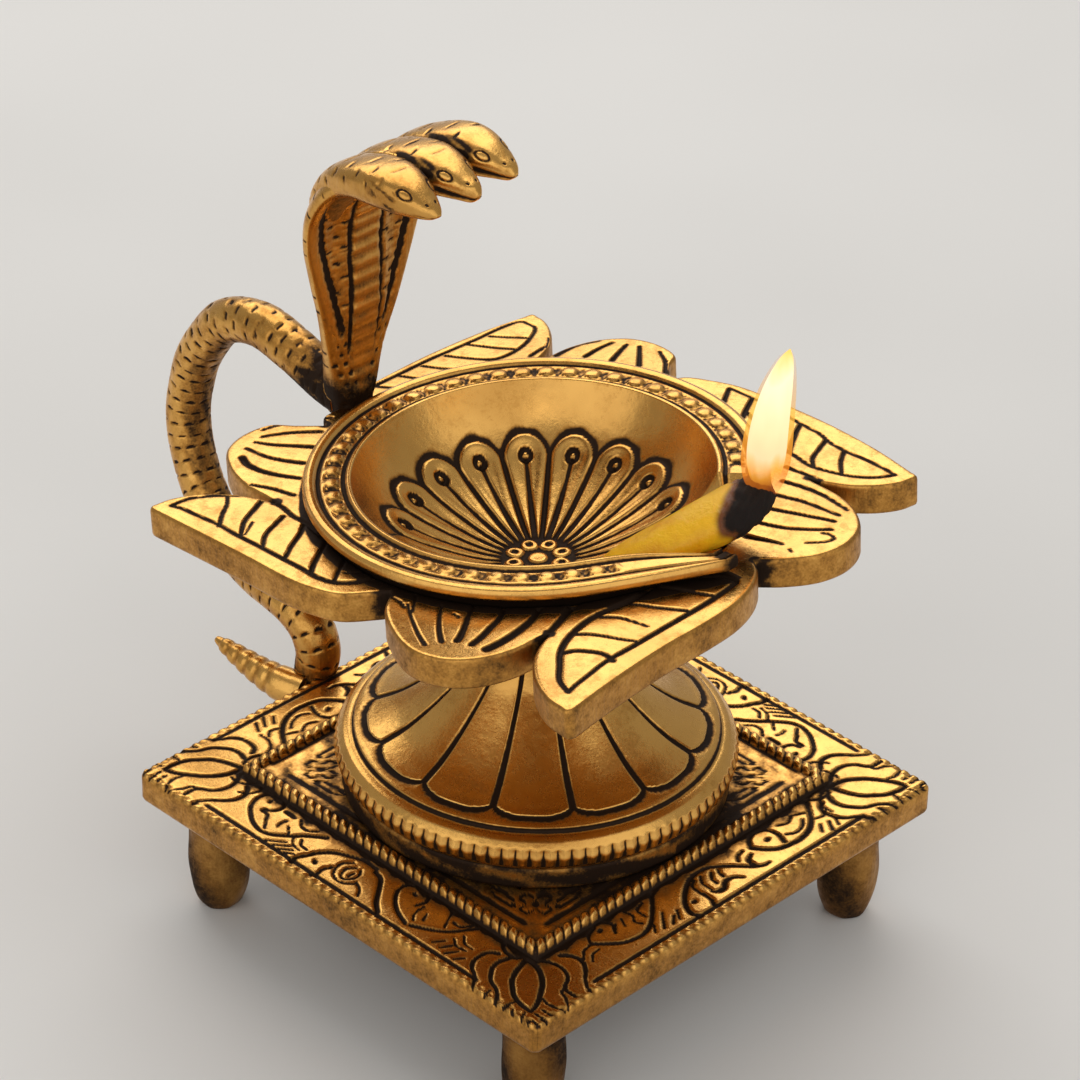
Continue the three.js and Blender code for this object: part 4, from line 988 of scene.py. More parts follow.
def petal_tray_piece():
    step = 0.29
    edge = even_ring(petal_outline(), 0.34)
    a = np.arange(CUP_COLUMNS) / CUP_COLUMNS * TAU
    hole = np.stack([CUP_RADIUS * np.cos(a), CUP_RADIUS * np.sin(a)], -1)
    rim = inset_ring(edge, 0.55)
    span = np.arange(-75, 75, step)
    gx, gy = np.meshgrid(span, span)
    field = np.stack([gx.ravel(), gy.ravel()], -1)
    field[:, 0] += (np.arange(len(field)) // len(span) % 2) * step / 2
    field = field[inside_ring(field, inset_ring(edge, 0.85)) & (np.hypot(*field.T) > CUP_RADIUS + 0.25)]
    flat = np.concatenate([rim, hole, field])
    loops = [(i, (i + 1) % len(rim)) for i in range(len(rim))]
    loops += [(len(rim) + (i + 1) % CUP_COLUMNS, len(rim) + i) for i in range(CUP_COLUMNS)]
    triangles, place, top_xy = fill(flat, loops)
    triangles = triangles[np.hypot(*top_xy[triangles].mean(1).T) > CUP_RADIUS - 0.02]
    rise, grime_and_shade = petal_relief(top_xy)
    points = [np.concatenate([top_xy, (TRAY_TOP + rise)[:, None]], 1)]
    dirt_and_shade = [grime_and_shade]
    top_hole = place[len(rim):len(rim) + CUP_COLUMNS]
    faces = [triangles]
    last, start = place[:len(rim)], len(top_xy)
    for inset, drop in ((0.3, 0.12), (0.08, 0.4), (0, 0.8), (0, 1.8), (0, 3.0), (0, 4.2), (0, 5.1),
                        (0.12, 5.5), (0.5, TRAY_THICKNESS)):
        ring = inset_ring(edge, inset)
        points.append(np.concatenate([ring, np.full((len(ring), 1), TRAY_TOP - drop)], 1))
        dirt_and_shade.append(side_grime(ring, drop))
        now = np.arange(start, start + len(ring))
        faces.append(stitch(now, last))
        last, start = now, start + len(ring)
    profile = [(37.4, TRAY_TOP - TRAY_THICKNESS), (36, 15.8), (31.8, 12.4), (26, 9.6), (19.5, 6.8),
               (12, 4.2), (11, 2.9), (11, 0.5), (10.6, 0.3), (6.8, 0.3), (6.8, 5.9), (10.1, 6.6),
               (18.5, 9.2), (24.5, 11.8), (29.8, 14.6), (34.4, 17.8), (37.9, 21.2), (38.0, 21.6)]
    rings = []
    for radius, height in profile:
        points.append(polar(radius, np.full(CUP_COLUMNS, height), a))
        dirt_and_shade.append(np.full(CUP_COLUMNS, 0.45))
        rings.append(np.arange(start, start + CUP_COLUMNS))
        start += CUP_COLUMNS
    for first, second in zip(rings[:-1], rings[1:]):
        faces.append(stitch(second, first))
    faces.append(stitch(top_hole, rings[-1]))
    under = np.concatenate([points[-len(profile) - 1][:, :2], points[-len(profile)][:, :2]])
    bottom, place, xy = fill(under, loops)
    numbers = np.zeros(len(xy), int)
    numbers[place] = np.concatenate([last, rings[0]])
    keep = np.hypot(*xy[bottom].mean(1).T) > 37.3
    faces.append(numbers[bottom[keep]][:, ::-1])
    return build("petal_tray_carved", from_dish(np.concatenate(points)), faces, np.concatenate(dirt_and_shade),
                 bright_brass, "lamp", replaces=("petal_tray",), slot="brass")


def inside_ring(points, ring):
    """Whether each point lies inside a closed ring, by counting crossings."""
    x, y = points[:, 0], points[:, 1]
    odd = np.zeros(len(points), bool)
    for (x0, y0), (x1, y1) in zip(ring, np.roll(ring, -1, 0)):
        if y0 == y1:
            continue
        meets = ((y0 > y) != (y1 > y)) & (x < x0 + (y - y0) * (x1 - x0) / (y1 - y0))
        odd ^= meets
    return odd


def notch_places():
    """The narrow notches between petals, in the dish's frame."""
    places = []
    for copy, (_, _, heel, _) in enumerate(PETAL_CUTS):
        places += [quarter_turns(heel, copy) + PETAL_SHIFT, quarter_turns(NOTCH, copy) + PETAL_SHIFT]
    return places


def side_grime(ring, drop):
    grime_and_shade = 0.37 + 0.05 * ripple(0.5 * ring[:, 0], 0.5 * ring[:, 1], 1 + 0.1 * drop)
    for place in notch_places():
        stain = smooth(6.0, 1.0, np.linalg.norm(ring - place, axis=1))
        grime_and_shade = np.maximum(grime_and_shade, stain * (0.75 + 0.35 * ripple(1.3 * ring[:, 0], 1.9 * drop, 4)))
    return grime_and_shade


def petal_relief(xy):
    """The rise of the petals' tops and where they are dark: their drawn grooves, their notches and the
    line beside the bowl's ridge."""
    sink, dark = carve(xy - PETAL_SHIFT, PETAL_STROKES)
    radius = np.hypot(*xy.T)
    degrees = np.degrees(np.arctan2(xy[:, 1], xy[:, 0]))
    beside = radius - ridge_radius(degrees)
    mottle = ripple(xy[:, 0], xy[:, 1], 2)
    dark = np.maximum(dark, smooth(1.2 + 0.5 * mottle, 0.35, beside))
    for place in notch_places():
        dark = np.maximum(dark, 0.9 * smooth(1.7, 0.6, np.linalg.norm(xy - place, axis=1) - 0.4 * mottle))
    return -sink, np.maximum(dark, 0.12 + 0.1 * mottle)


def spout_flare(degrees):
    """How far the rim has opened into the spout at an angle, from 0 to 1 beside the mouth."""
    return np.clip((degrees - FLARE_START) / -FLARE_START, 0, 1)


def ridge_reach(flare):
    return RIM_RADIUS + (SPOUT_REACH - RIM_RADIUS) * flare ** 2.4


def ridge_radius(degrees):
    """How far the bowl's outer ridge reaches at an angle, with the spout beside the mouth."""
    in_mouth = (degrees > MOUTH_START + 1) & (degrees < MOUTH_END - 1)
    flare = np.where(degrees > MOUTH_START, 0, spout_flare(degrees))
    return np.where(in_mouth, BOWL_RADIUS - 1.5, ridge_reach(flare))


# Oil bowl
def bead_band(r, a):
    """The rise and the darkness of the rim's beads, at radii as on the round part of the rim."""
    u = from_ray(BEADS, a, 34.5)
    v = r - BEAD_CIRCLE
    from_bead = np.hypot(u * 0.95, v)
    bead = np.sqrt(np.clip(1 - (from_bead / 1.5) ** 2, 0, 1))
    bow = u + 0.16 * v ** 2
    gap = smooth(0.32, 0.12, np.abs(bow - 2.02)) * smooth(1.7, 1.4, np.abs(v))
    outline = smooth(0.26, 0.06, np.abs(from_bead - 1.45)) * smooth(0.3, 0.8, u)
    rise = -0.22 + 0.5 * bead - 0.18 * gap - 0.1 * outline
    return rise, np.maximum(0.17, 0.68 * np.maximum(outline, gap))


def bowl_petals(r, a):
    """The rise and the darkness of the petals inside the bowl."""
    w = from_ray(BOWL_PETALS, a - math.radians(BOWL_PETAL_TURN), r)
    half = np.clip(0.75 + (r - 6.5) / 16.3 * 3.05, 0.4, 3.8)
    past = r - BOWL_PETAL_END
    inside = np.where(past > 0, 3.8 - np.hypot(past * 1.2, w), half - w)
    rise = 0.62 * smooth(-0.35, 0.4, inside) - 0.12 * smooth(0.9, 1.9, inside)
    halo = smooth(-1.8 + 0.6 * ripple(24 * a, r), -0.4, inside)
    outline = (inside < 0.15) * smooth(0.2, -0.1, inside) * halo
    middle = 0.36 + 0.2 * smooth(20, 9, r)
    stem = smooth(1.35, 0.6, w / middle) * smooth(23, 22, r)
    hole = np.hypot(r - 22.7, w)
    rise = rise - 0.42 * stem - 0.7 * smooth(1.45, 1.0, hole) + 0.55 * smooth(0.75, 0.25, hole)
    ring = smooth(1.6, 1.2, hole) * smooth(0.35, 0.6, hole)
    dark = most(outline, 0.14 * smooth(1.0, 2.0, inside), stem, ring)
    w = from_ray(FLOOR_PETALS, a - math.radians(FLOOR_PETAL_TURN), r)
    small = 1.55 - np.hypot((r - FLOOR_PETAL_CIRCLE) * 0.95, w)
    dot = np.hypot(r - 4.5, w)
    boss = 0.5 * smooth(1.9, 1.4, r)
    flower_rise = 0.45 * smooth(-0.2, 0.35, small) - 0.35 * smooth(0.75, 0.45, dot) + boss
    flower_dark = np.maximum(smooth(0.15, -0.1, small) * smooth(1.5, 1.9, r), smooth(0.85, 0.55, dot))
    on_floor = smooth(6.7, 6.3, r)
    band = smooth(29.2, 28.2, r)
    return (rise + (flower_rise - rise) * on_floor) * band, (dark + (flower_dark - dark) * on_floor) * band


def oil_bowl_piece():
    wall = [[1.0, 7.2], [3.9, 7.2], [3.9, 2.0], [6.5, 2.0], [6.5, 5.9], [10, 6.6], [18.5, 9.2], [24.5, 11.8],
            [29.8, 14.6], [34.4, 17.8], [37.6, 21.2]]
    rim = [[37.6, 23.4], [38.4, 23.7], [39.3, 23.9], [39.6, 24.4], [39.6, 25.2], [39.3, 25.8], [38.5, 26.1],
           [37.7, 25.9], [37.2, 25.4], [36.9, 25.15], [36.5, 25.5], [36, 25.75], [33.5, 25.75], [33, 25.4],
           [32.6, 25.2], [32.2, 25.6], [31.8, 26], [31.3, 25.9], [31.1, 25.5]]
    hollow = resample(spline([[31.1, 25.5], [30.3, 23.9], [28.5, 20.9], [26, 18], [22, 14.8], [16, 11.5],
                              [8.1, 8.4], [0.6, 7.8]], 12), 0.45)[1:]
    wall = resample(wall, 4)
    profile = np.concatenate([wall, resample(rim, 0.3), hollow])
    slope = np.arctan2(np.gradient(hollow[:, 1]), -np.gradient(hollow[:, 0]))[:, None]

    def mouth_low(radius):
        return TRAY_TOP - 5.6 + (radius - 25) * 0.5

    def shape(r, z, a):
        degrees = np.degrees((a + math.pi) % TAU - math.pi)
        row = np.broadcast_to(np.arange(len(profile))[:, None], r.shape)
        is_hollow = row >= len(profile) - len(hollow)
        is_rim = (row >= len(wall)) & ~is_hollow
        in_mouth = (degrees > MOUTH_START) & (degrees < MOUTH_END)
        sill = is_rim & in_mouth
        flare = np.where(in_mouth, 1.0, np.where(degrees > MOUTH_END, 0.0, spout_flare(degrees)))
        lip_out = np.where(in_mouth, LIP_RADIUS + 0.8, LIP_RADIUS + LIP_SPREAD * flare ** 3)
        share = (r - LIP_RADIUS) / (RIM_RADIUS - LIP_RADIUS)
        new_r = np.where(is_rim, lip_out + (ridge_reach(flare) - lip_out) * share, r)
        pull = np.clip((r - 20) / (LIP_RADIUS - 20), 0, None)
        new_r = np.where(is_hollow, r + (lip_out - LIP_RADIUS) * pull, new_r)
        open_share = smooth(0, 0.6, flare) * smooth(23.5, 25.5, r)
        new_z = np.where(is_hollow, z + (mouth_low(new_r) - z) * open_share, z)
        sill_r = BOWL_RADIUS - 0.3 + (lip_out - BOWL_RADIUS + 0.3) * (1 - np.clip(share, 0, 1))
        new_r = np.where(sill, sill_r, new_r)
        new_z = np.where(sill, mouth_low(new_r), new_z)
        # Beads, and the dark grooves on either side of their band
        beaded = is_rim & (r > 33.0) & (r < 36.2) & ((degrees < -21) | (degrees > 43))
        rise, dark = bead_band(r, a)
        fade = smooth(33.0, 33.4, r) * smooth(36.2, 35.8, r)
        new_z = new_z + beaded * rise * fade
        grime_and_shade = np.where(beaded, np.maximum(dark * fade, 0.1), 0.1 + 0.08 * ripple(8 * a, z))
        beside = smooth(0.55, 0.25, np.minimum(np.abs(r - 36.9), np.abs(r - 32.6)))
        grime_and_shade = most(grime_and_shade, is_rim * (z > 25) * beside, is_rim * (z < 23.9) * (r < 39))
        grime_and_shade = np.where(row < len(wall), 0.9, grime_and_shade)
        grime_and_shade = np.where(sill, 0.72 + 0.3 * ripple(12 * a, 2 * r), grime_and_shade)
        lip_end = smooth(-2.6, 0.6, degrees) * smooth(12, 8, degrees) * (is_rim & (r > 31.3))
        grime_and_shade = np.maximum(grime_and_shade, lip_end * (0.7 + 0.3 * ripple(20 * a, 2 * r)))
        # Petals inside
        rise, dark = bowl_petals(r, a)
        away = smooth(0.75, 0.2, open_share)
        lift = np.zeros_like(r)
        lift[-len(hollow):] = (rise * away)[-len(hollow):]
        tilt = np.zeros_like(r)
        tilt[-len(hollow):] = slope
        new_r = new_r + lift * np.sin(tilt)
        new_z = new_z + lift * np.cos(tilt)
        grime_and_shade = np.where(is_hollow, np.maximum(dark * away, 0.06), grime_and_shade)
        return from_dish(polar(np.maximum(new_r, 0.3), new_z, a)), grime_and_shade

    return turned("oil_bowl_chased", profile, BOWL_COLUMNS, shape, bright_brass, "lamp", 99,
                  replaces=("oil_bowl",), slot="brass")


# Serpent
def loft(stations, around, along, relief=None, boxy=1.0, aside=(0.0, 1.0, 0.0)):
    """A body along a curve. Stations hold x, y, z, half width, half thickness and bend. relief gives how
    far the surface grows and where it is dark, boxy below 1 squares the section, and aside is the
    direction that its width lies in."""
    s = np.asarray(stations, float)
    t = np.linspace(0, len(s) - 1, along)
    made = spline_at(s, t)
    centre = made[:, :3]
    ahead = spline_at(s, np.minimum(t + 1e-3, len(s) - 1))[:, :3]
    behind = spline_at(s, np.maximum(t - 1e-3, 0))[:, :3]
    tangent = ahead - behind
    tangent /= np.linalg.norm(tangent, axis=1)[:, None]
    wide, thick, bend = np.maximum(made[:, 3], 0.02), np.maximum(made[:, 4], 0.02), made[:, 5]
    across = np.array(aside) - tangent * (tangent @ np.array(aside))[:, None]
    across /= np.linalg.norm(across, axis=1)[:, None]
    front = np.cross(across, tangent)
    phi = np.arange(around) / around * TAU
    side, fore = np.sin(phi)[None], np.cos(phi)[None]
    length = np.concatenate([[0], np.cumsum(np.linalg.norm(np.diff(centre, axis=0), axis=1))])
    grow, grime_and_shade = 0.0, np.zeros((along, around))
    if relief:
        grow, grime_and_shade = relief(length[:, None], wide[:, None], side, fore)
    half_wide = np.sign(side) * np.abs(side) ** boxy * (wide[:, None] + grow)
    half_thick = np.sign(fore) * np.abs(fore) ** boxy * (thick[:, None] + grow) + side ** 2 * bend[:, None]
    points = (centre[:, None] + across[:, None] * half_wide[..., None]
              + front[:, None] * half_thick[..., None])
    return points, grime_and_shade


def punched(length, turn, reach, row_pitch, count, size=(0.34, 1.0)):
    """Staggered rows of short punched crescents round a body: 1 in the middle of one, 0 between them."""
    row = np.floor(length / row_pitch)
    u = length - (row + 0.5) * row_pitch
    at = turn * count + row % 2 / 2
    v = off_whole(at) / count * reach
    return smooth(1.25, 0.5, np.hypot((u + 0.22 * v * v) / size[0], v / size[1]))


def body_relief(length, wide, side, fore):
    turn = np.arctan2(side, fore) / TAU
    mark = punched(length + 0.5 * ripple(5 * turn, length, 8), turn, TAU * BODY_RADIUS, 2.7, 9, (0.3, 1.15))
    total = length.max()
    inner = smooth(0.2, 0.9, fore) * smooth(20, 50, length)
    grime_and_shade = 0.2 + 0.14 * ripple(7 * turn * TAU, 0.5 * length) + 0.3 * inner
    stain = 0.66 + 0.26 * ripple(9 * turn * TAU, length, 2)
    grime_and_shade = grime_and_shade + stain * (smooth(total - 15, total - 5, length) + smooth(12, 3, length))
    lumps = 0.07 * ripple(3 * turn * TAU, 0.35 * length, 4)
    return lumps - 0.3 * mark, np.maximum(grime_and_shade, 0.92 * mark)


def tail_relief(length, wide, side, fore):
    total = length.max()
    ridge = notches((length - 4) / 2.7, 0.45) * smooth(4, 6, length) * smooth(total, total - 2, length)
    return (0.1 - 0.2 * ridge) * smooth(3, 5, length), np.maximum(0.14, 0.36 * ridge) + 0 * side


def hood_relief(length, wide, side, fore):
    u = side * wide
    edge = wide - np.abs(u)
    turn = np.arctan2(side, fore) / TAU
    front = smooth(0.02, 0.12, fore)
    low = smooth(30, 16, length)
    mottle = ripple(u, 0.9 * length, 5)
    # Front: a smooth band, a toothed groove, a ribbed face and a ribbed shield between two grooves
    teeth = 0.3 * np.abs(np.sin(1.5 * length)) + 0.2 * mottle
    groove = smooth(1.25, 0.5, np.abs(edge - 3.7 - teeth)) * smooth(15, 22, length) * smooth(60, 56, length)
    seam = smooth(0.6, 0.25, np.abs(np.abs(u) - 2.5 - 0.12 * mottle)) * smooth(12, 17, length)
    shield = smooth(2.6, 2.2, np.abs(u))
    ribs = np.cos(TAU * (length - 0.10 * u ** 2 * (1 - shield)) / (2.9 + 0.5 * (1 - shield)))
    face = smooth(4.2, 5.0, edge)
    arcs = smooth(0.8, 1.0, np.cos(TAU * (length - 0.05 * (np.abs(u) - 6) ** 2 + 0.25 * mottle) / 1.75))
    dents = punched(length + 0.3 * mottle, u / 26, 26, 2.9, 7, (0.4, 1.2))
    spots = punched(length, u / 11, 11, 2.2, 5, (0.5, 0.7)) * (1 - face) * low
    flank = face * (1 - shield)
    keel = smooth(6.5, 1.5, np.abs(u)) * smooth(8, 24, length) * smooth(58, 46, length)
    grow_front = (0.12 * ribs * shield - 0.1 * arcs * flank - 0.35 * groove - 0.5 * seam
                  - 0.18 * dents * flank - 0.3 * spots + 1.1 * keel)
    tone = 0.2 + 0.1 * mottle + 0.2 * smooth(0.2, -0.8, ribs) * shield + 0.22 * arcs * flank
    dark_front = most(tone, groove, 0.95 * seam, 0.8 * dents * flank, 0.85 * spots)
    dark_front = np.where(edge < 2.6, np.minimum(dark_front, 0.12 + 0.6 * low * (mottle > 0.1)), dark_front)
    # Back: rows of crescents, and two long grooves that part the three necks
    mark = punched(length, u / 33, 33, 3.3, 9, (0.3, 1.1))
    part = smooth(0.7, 0.2, np.abs(np.abs(u) - 4.1)) * smooth(34, 42, length)
    dark_back = most(0.16 + 0.1 * mottle, 0.9 * mark, part)
    grow_back = -0.22 * mark * smooth(1.0, 2.5, edge) - 0.55 * part
    knot = smooth(13, 4, length)
    grime_and_shade = dark_back + (dark_front - dark_back) * front
    grow_front = grow_front * smooth(0.2, 1.2, edge)
    return grow_back + (grow_front - grow_back) * front, np.maximum(grime_and_shade, knot * (0.86 + 0.2 * mottle))


def head_relief(which):
    """The chasing of one of the three heads, and where it is darker: on its sides, underneath and towards
    the other heads. which is -1, 0 or 1, from the near side to the far one.
    """
    def relief(length, wide, side, fore):
        total = length.max()
        back = total - length
        turn = np.arctan2(side, -fore) / TAU
        mottle = ripple(9 * turn * TAU, length, 6 + which)
        mark = punched(length + 0.8, turn, 26, 2.7, 7, (0.27, 1.25))
        mark = mark * smooth(0.1, -0.3, fore) * smooth(9, 11, back)
        cheek = smooth(0.55, 0.9, np.abs(side)) * smooth(14, 11, back) * smooth(5, 7, back)
        between = smooth(0.35, 0.75, side * -which if which else np.abs(side)) * smooth(20, 15, back)
        between = between * smooth(5.5, 8.5, back) * (0.78 + 0.4 * mottle)
        grow = -0.24 * mark
        grime_and_shade = most(0.13 + 0.1 * mottle, 0.92 * mark, cheek * (0.2 + 0.3 * (mottle > 0.15)), between)
        for sign in (-1, 1):
            eye = np.hypot(back - 5.6, (turn - sign * 0.135) * TAU * 3.9)
            ring = smooth(0.42, 0.14, np.abs(eye - 1.2))
            grow = grow - 0.16 * ring
            grime_and_shade = np.maximum(grime_and_shade, 0.8 * ring) * (1 - 0.5 * smooth(0.85, 0.6, eye))
            nostril = smooth(0.5, 0.2, np.hypot(back - 2.1, (turn - sign * 0.06) * TAU * 2.6))
            grow = grow - 0.14 * nostril
            grime_and_shade = np.maximum(grime_and_shade, nostril)
        gape, jaw = (0.1, 3.5) if which < 0 else (0.3, 8.0)
        mouth = smooth(gape, 0.3 * gape, np.abs(fore - 0.34 + 0.02 * back)) * smooth(jaw, jaw - 2, back)
        grow = grow - (0.25 + 0.35 * (which > -1)) * mouth * smooth(0.2, 1.2, back)
        chin = (0.5 + 0.35 * (which > -1)) * smooth(0.5, 0.85, fore) * smooth(2, 5, back)
        return grow, most(grime_and_shade, mouth, chin)
    return relief


def low_point(x, y, z, wide, thick=None, bend=0.0):
    return (x, y, PLATE_TOP + z, wide, wide if thick is None else thick, bend)


def loop_point(x, y, share, wide):
    return (x, y, PLATE_TOP + share * (NECK_Z - PLATE_TOP), wide, wide, 0.0)


def high_point(x, y, share, wide, thick, bend=0.0):
    return (NECK_X + x, y, NECK_Z + share * HOOD_RISE, wide, thick, bend)


def serpent_piece():
    r = BODY_RADIUS
    body = [low_point(-52.8, -5, -6.2, r * 0.93), low_point(-52.2, -5, 0, r * 0.96),
            low_point(-51.6, -5, 4.6, r), low_point(-53.4, -5, 8.5, r), low_point(-57.6, -4.9, 10.9, r),
            low_point(-62.8, -4.6, 11.9, r), low_point(-68.3, -4.1, 12.4, r)]
    for inset, y, share in ((17.5, -3.5, 0.237), (12.4, -2.9, 0.284), (8.3, -2.3, 0.334), (5.3, -1.8, 0.389),
                            (2.9, -1.3, 0.451), (0.7, -0.8, 0.54), (0, -0.4, 0.636), (0.7, 0, 0.728),
                            (2.3, 0, 0.82), (5.3, 0, 0.91), (11.1, 0, 1.025), (20.4, 0, 1.077),
                            (29.2, 0, 1.053)):
        body.append(loop_point(inset - LOOP_REACH, y, share, r))
    body.append(loop_point(NECK_X - 6.6, 0, 1.013, r))
    body.append(loop_point(NECK_X - 0.5, 0, 1, r * 1.05))
    tail = [low_point(-51.2, -8.8, -3.2, 3.6), low_point(-55.6, -10.2, -2.9, 3.3),
            low_point(-60.6, -11, -2.3, 2.7), low_point(-65.4, -11.4, -1.5, 2.1),
            low_point(-70, -11.7, -0.6, 1.3), low_point(-72, -11.8, -0.2, 0.5)]
    w, t = HOOD_HALF_WIDTH, HOOD_THICKNESS / 2
    hood = [high_point(-0.6, 0, -0.051, 3.6, 3.4), high_point(-0.2, 0, 0.051, w * 0.34, t * 1.5, 0.2),
            high_point(0.1, 0, 0.179, w * 0.45, t * 1.15, 0.8), high_point(0.8, 0, 0.361, w * 0.64, t, 1.6),
            high_point(0.8, 0, 0.526, w * 0.82, t, 2.2), high_point(0.8, 0, 0.665, w * 0.95, t, 2.8),
            high_point(2.5, 0, 0.795, w, t, 2.6), high_point(7.0, 0, 0.905, w * 0.97, t * 1.1, 1.6),
            high_point(13.4, 0, 0.968, w * 0.85, t * 1.1, 0.6), high_point(19, 0, 0.988, w * 0.66, t, 0)]
    lofts = [loft(body, 60, 400, body_relief), loft(tail, 40, 80, tail_relief),
             loft(hood, 184, 170, hood_relief, 0.8)]
    h = HEAD_HALF_WIDTH
    for side, tip, blunt in ((-1, 32.1, 0.8), (0, 31.7, 1.5), (1, 30.6, 1.2)):
        y, out = side * HEAD_SPACING, abs(side)
        head = [high_point(2.0 + 0.4 * out, y * 0.7, 0.715, h * 0.6, 1.4),
                high_point(2.9 + 0.6 * out, y * 0.75, 0.802, h * 0.8, 2.9 - 0.25 * out),
                high_point(7.2 + 0.4 * out, y * 0.8, 0.906, h * 0.95, 3.15),
                high_point(13.4, y * 0.87, 0.966, h * 1.03, 3.3),
                high_point(tip - 11.7, y * 0.92, 0.99, h * 1.0, 3.6),
                high_point(tip - 7.0, y * 0.95, 0.987, h * 0.82, 3.1),
                high_point(tip - 3.2, y * 0.97, 0.977, h * 0.52, 1.7 + 0.3 * blunt),
                high_point(tip - 0.9, y * 0.97, 0.970, h * 0.28, 0.4 + 0.75 * blunt),
                high_point(tip, y * 0.97, 0.968, h * 0.12, 0.35 * blunt)]
        lofts.append(loft(head, 84, 150, head_relief(side), 0.72))
    parts = []
    for number, (shape, dirt_and_shade) in enumerate(lofts):
        name = f"serpent_part_{number}" if number else "serpent_chased"
        parts.append(solid(name, *closed_tube(shape, dirt_and_shade), bright_brass))
    return dress(unite(parts), "lamp", replaces=("serpent_handle",))


# Wick and flame
# Share of the length, half width, half thickness and how far the middle lies to the far side
WICK_SHAPE = (
    (0, 1.4, 1.2, 0), (0.14, 2.9, 2.3, -0.3), (0.3, 4.3, 3.0, -1.0), (0.5, 5.6, 3.4, -1.9),
    (0.7, 6.1, 3.7, -2.3), (0.86, 5.4, 3.6, -1.9), (0.95, 4.2, 3.0, -1.0), (1, 2.4, 1.9, -0.3),
)


def wick_piece():
    """The rolled wick, pressed flat in the mouth and burnt on a slant."""
    stations = [(*(WICK_TAIL + WICK_DIRECTION * share * WICK_LENGTH + WICK_ASIDE * off), wide, thick, 0.0)
                for share, wide, thick, off in WICK_SHAPE]

    def twist(length, wide, side, fore):
        phi = np.arctan2(side, fore)
        strands = np.cos(4 * phi + 0.4 * length)
        folds = ripple(3 * np.cos(phi), 3 * np.sin(phi) + 0.5 * length, 1)
        char = smooth(0.72, 0.9, length / length.max() - 0.09 * side + 0.06 * folds)
        crumbs = ripple(9 * phi, 2.2 * length, 5) * char
        return 0.1 * strands + 0.12 * folds * smooth(2, 8, length) + 0.3 * crumbs - 0.15, char

    points, char = loft(stations, 88, 200, twist, 0.92, WICK_ASIDE)
    along = np.linspace(0, 1, len(points))[:, None, None] ** 3
    lean = ((points - points.mean(1, keepdims=True)) @ WICK_ASIDE)[..., None] / 6.1
    points = points + WICK_DIRECTION * along * lean * 2.4
    p, f, g = closed_tube(points, char)
    return build("wick_soaked", from_dish(p), f, g, wick_cotton, "wick", replaces=("wick",),
                 slot="cotton_wick")


def flame_glow(name, strength, stops, clear, cover):
    """Glowing gas, coloured by height, which its mesh gives in the attribute grime. clear holds the two
    spans of height over which it thins out, and cover says how much it hides between them."""
    n = Nodes(name)
    height = n.add("Attribute", attribute_name="grime_and_shade").outputs["Fac"]
    where = n.add("TexCoord").outputs["Object"]
    stretched = n.add("Mapping", {"Vector": where, "Scale": (1.0, 1.0, 0.25)}).outputs[0]
    at = n.total(height, n.times(n.total(n.noise(stretched, 260, 2), -0.5), 0.3))
    ramp = n.add("ValToRGB", {"Fac": at})
    elements = ramp.color_ramp.elements
    while len(elements) < len(stops):
        elements.new(0.5)
    for element, (place, colour) in zip(elements, stops):
        element.position = place
        element.color = (*colour, 1)
    glow = n.add("Emission", {"Color": ramp.outputs["Color"], "Strength": strength})
    seen = n.times(n.times(n.ramp(at, *clear[0]), n.ramp(at, *clear[1])), cover)
    through = n.add("BsdfTransparent")
    mixed = n.add("MixShader", {0: seen, 1: through.outputs[0], 2: glow.outputs[0]})
    return n.finish(mixed)


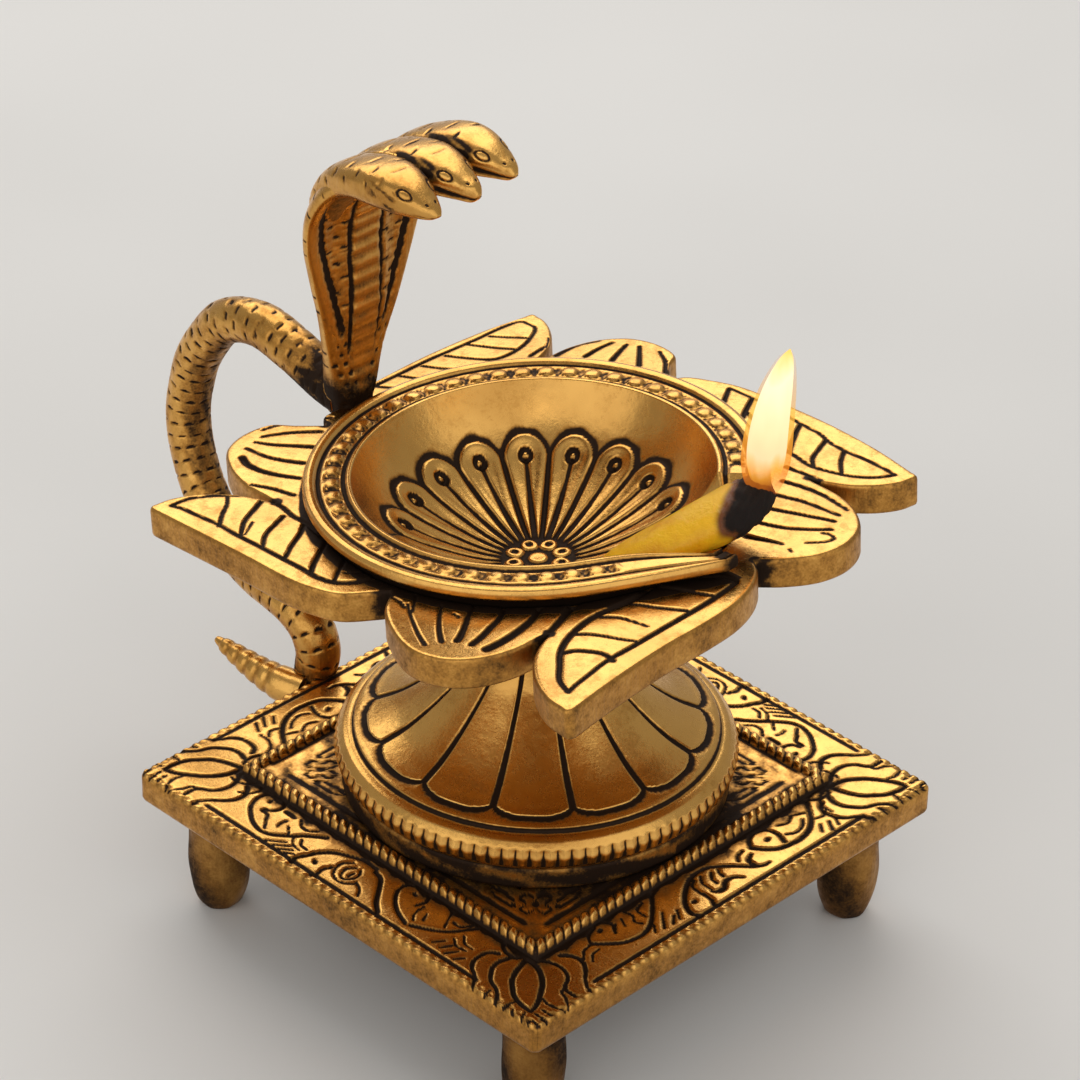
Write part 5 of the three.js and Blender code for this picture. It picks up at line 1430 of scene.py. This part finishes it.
def flame_pieces():
    """Two nested tongues of flame that stand on the wick's charred end."""
    end = from_dish(WICK_TAIL + WICK_DIRECTION * (WICK_LENGTH - FLAME_SINK))
    shells = (
        ("flame_veil", 27.6, 4.7, -0.6, flame_glow("flame_veil_glow", 1.0, (
            (0.0, (0.75, 0.10, 0.008)), (0.25, (1.0, 0.30, 0.02)), (0.5, (1.0, 0.52, 0.07)),
            (1.0, (1.0, 0.45, 0.05))), ((-0.1, 0.25), (1.15, 0.3)), 0.5)),
        ("flame_heart", 26.0, 3.7, 0.8, flame_glow("flame_heart_glow", 1.35, (
            (0.0, (1.0, 0.25, 0.015)), (0.14, (1.0, 0.55, 0.07)), (0.28, (1.0, 0.93, 0.62)),
            (0.8, (1.0, 0.94, 0.62)), (1.0, (1.0, 0.62, 0.14))), ((0.0, 0.3), (1.3, 0.9)), 1.0)),
    )
    outline = ((0, 0.55), (0.08, 0.8), (0.2, 0.98), (0.32, 1.0), (0.5, 0.93), (0.68, 0.78), (0.82, 0.58),
               (0.93, 0.34), (1, 0.04))
    for name, tall, widest, lift, material in shells:
        share = np.linspace(0, 1, 90)
        width = widest * np.interp(share, *np.array(spline(outline, 12)).T)
        sway = 0.4 + 2.0 * share ** 1.4 - 0.5 * np.sin(math.pi * share)
        stations = [(end[0] + s, end[1] + s, end[2] + lift + tall * t, w, w * 0.8, 0.0)
                    for t, w, s in zip(share, width, sway)]
        points, _ = loft(stations, 40, len(share))
        build(name, *closed_tube(points, share[:, None]), material, "wick")


# Stage
def floor_and_lights():
    n = Nodes("floor_paper")
    where = n.add("TexCoord").outputs["Object"]
    tone = n.mix(n.ramp(n.noise(where, 6, 2), 0.3, 0.7), (0.78, 0.76, 0.73, 1), (0.74, 0.72, 0.69, 1))
    shader = n.add("BsdfPrincipled", {"Base Color": tone, "Roughness": 0.85})
    paper = n.finish(shader)
    mesh = bpy.data.meshes.new("floor")
    s = FLOOR_REACH
    mesh.from_pydata([(-s, -s, 0), (s, -s, 0), (s, s, 0), (-s, s, 0)], [], [(0, 1, 2, 3)])
    mesh.materials.append(paper)
    in_scene("floor", mesh)
    world = bpy.data.worlds.new("studio")
    bpy.context.scene.world = world
    world.use_nodes = True
    back = world.node_tree.nodes["Background"]
    back.inputs["Color"].default_value = STUDIO_COLOUR
    back.inputs["Strength"].default_value = STUDIO_STRENGTH
    for name, place, aim_height, size, power in LAMPS:
        data = bpy.data.lights.new(name, "AREA")
        data.energy = power
        data.size = size
        lamp = in_scene(name, data)
        lamp.location = place
        lamp.rotation_mode = "QUATERNION"
        lamp.rotation_quaternion = (Vector((0, 0, aim_height)) - Vector(place)).to_track_quat("-Z", "Y")


floor_and_lights()
bpy.context.scene.view_settings.view_transform = "Standard"

for node in ("centre_stud", "centre_washer", "centre_nut", "foot_dowel", "neck_dowel"):
    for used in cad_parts[node].material_slots:
        used.material = hidden_brass

chowki()
for depth, y in (("front", -FOOT_PLACE), ("back", FOOT_PLACE)):
    for side, x in (("left", -FOOT_PLACE), ("right", FOOT_PLACE)):
        foot_piece(f"{depth}_{side}", x, y)
pedestal_piece()
petal_tray_piece()
oil_bowl_piece()
serpent_piece()
wick_piece()
flame_pieces()
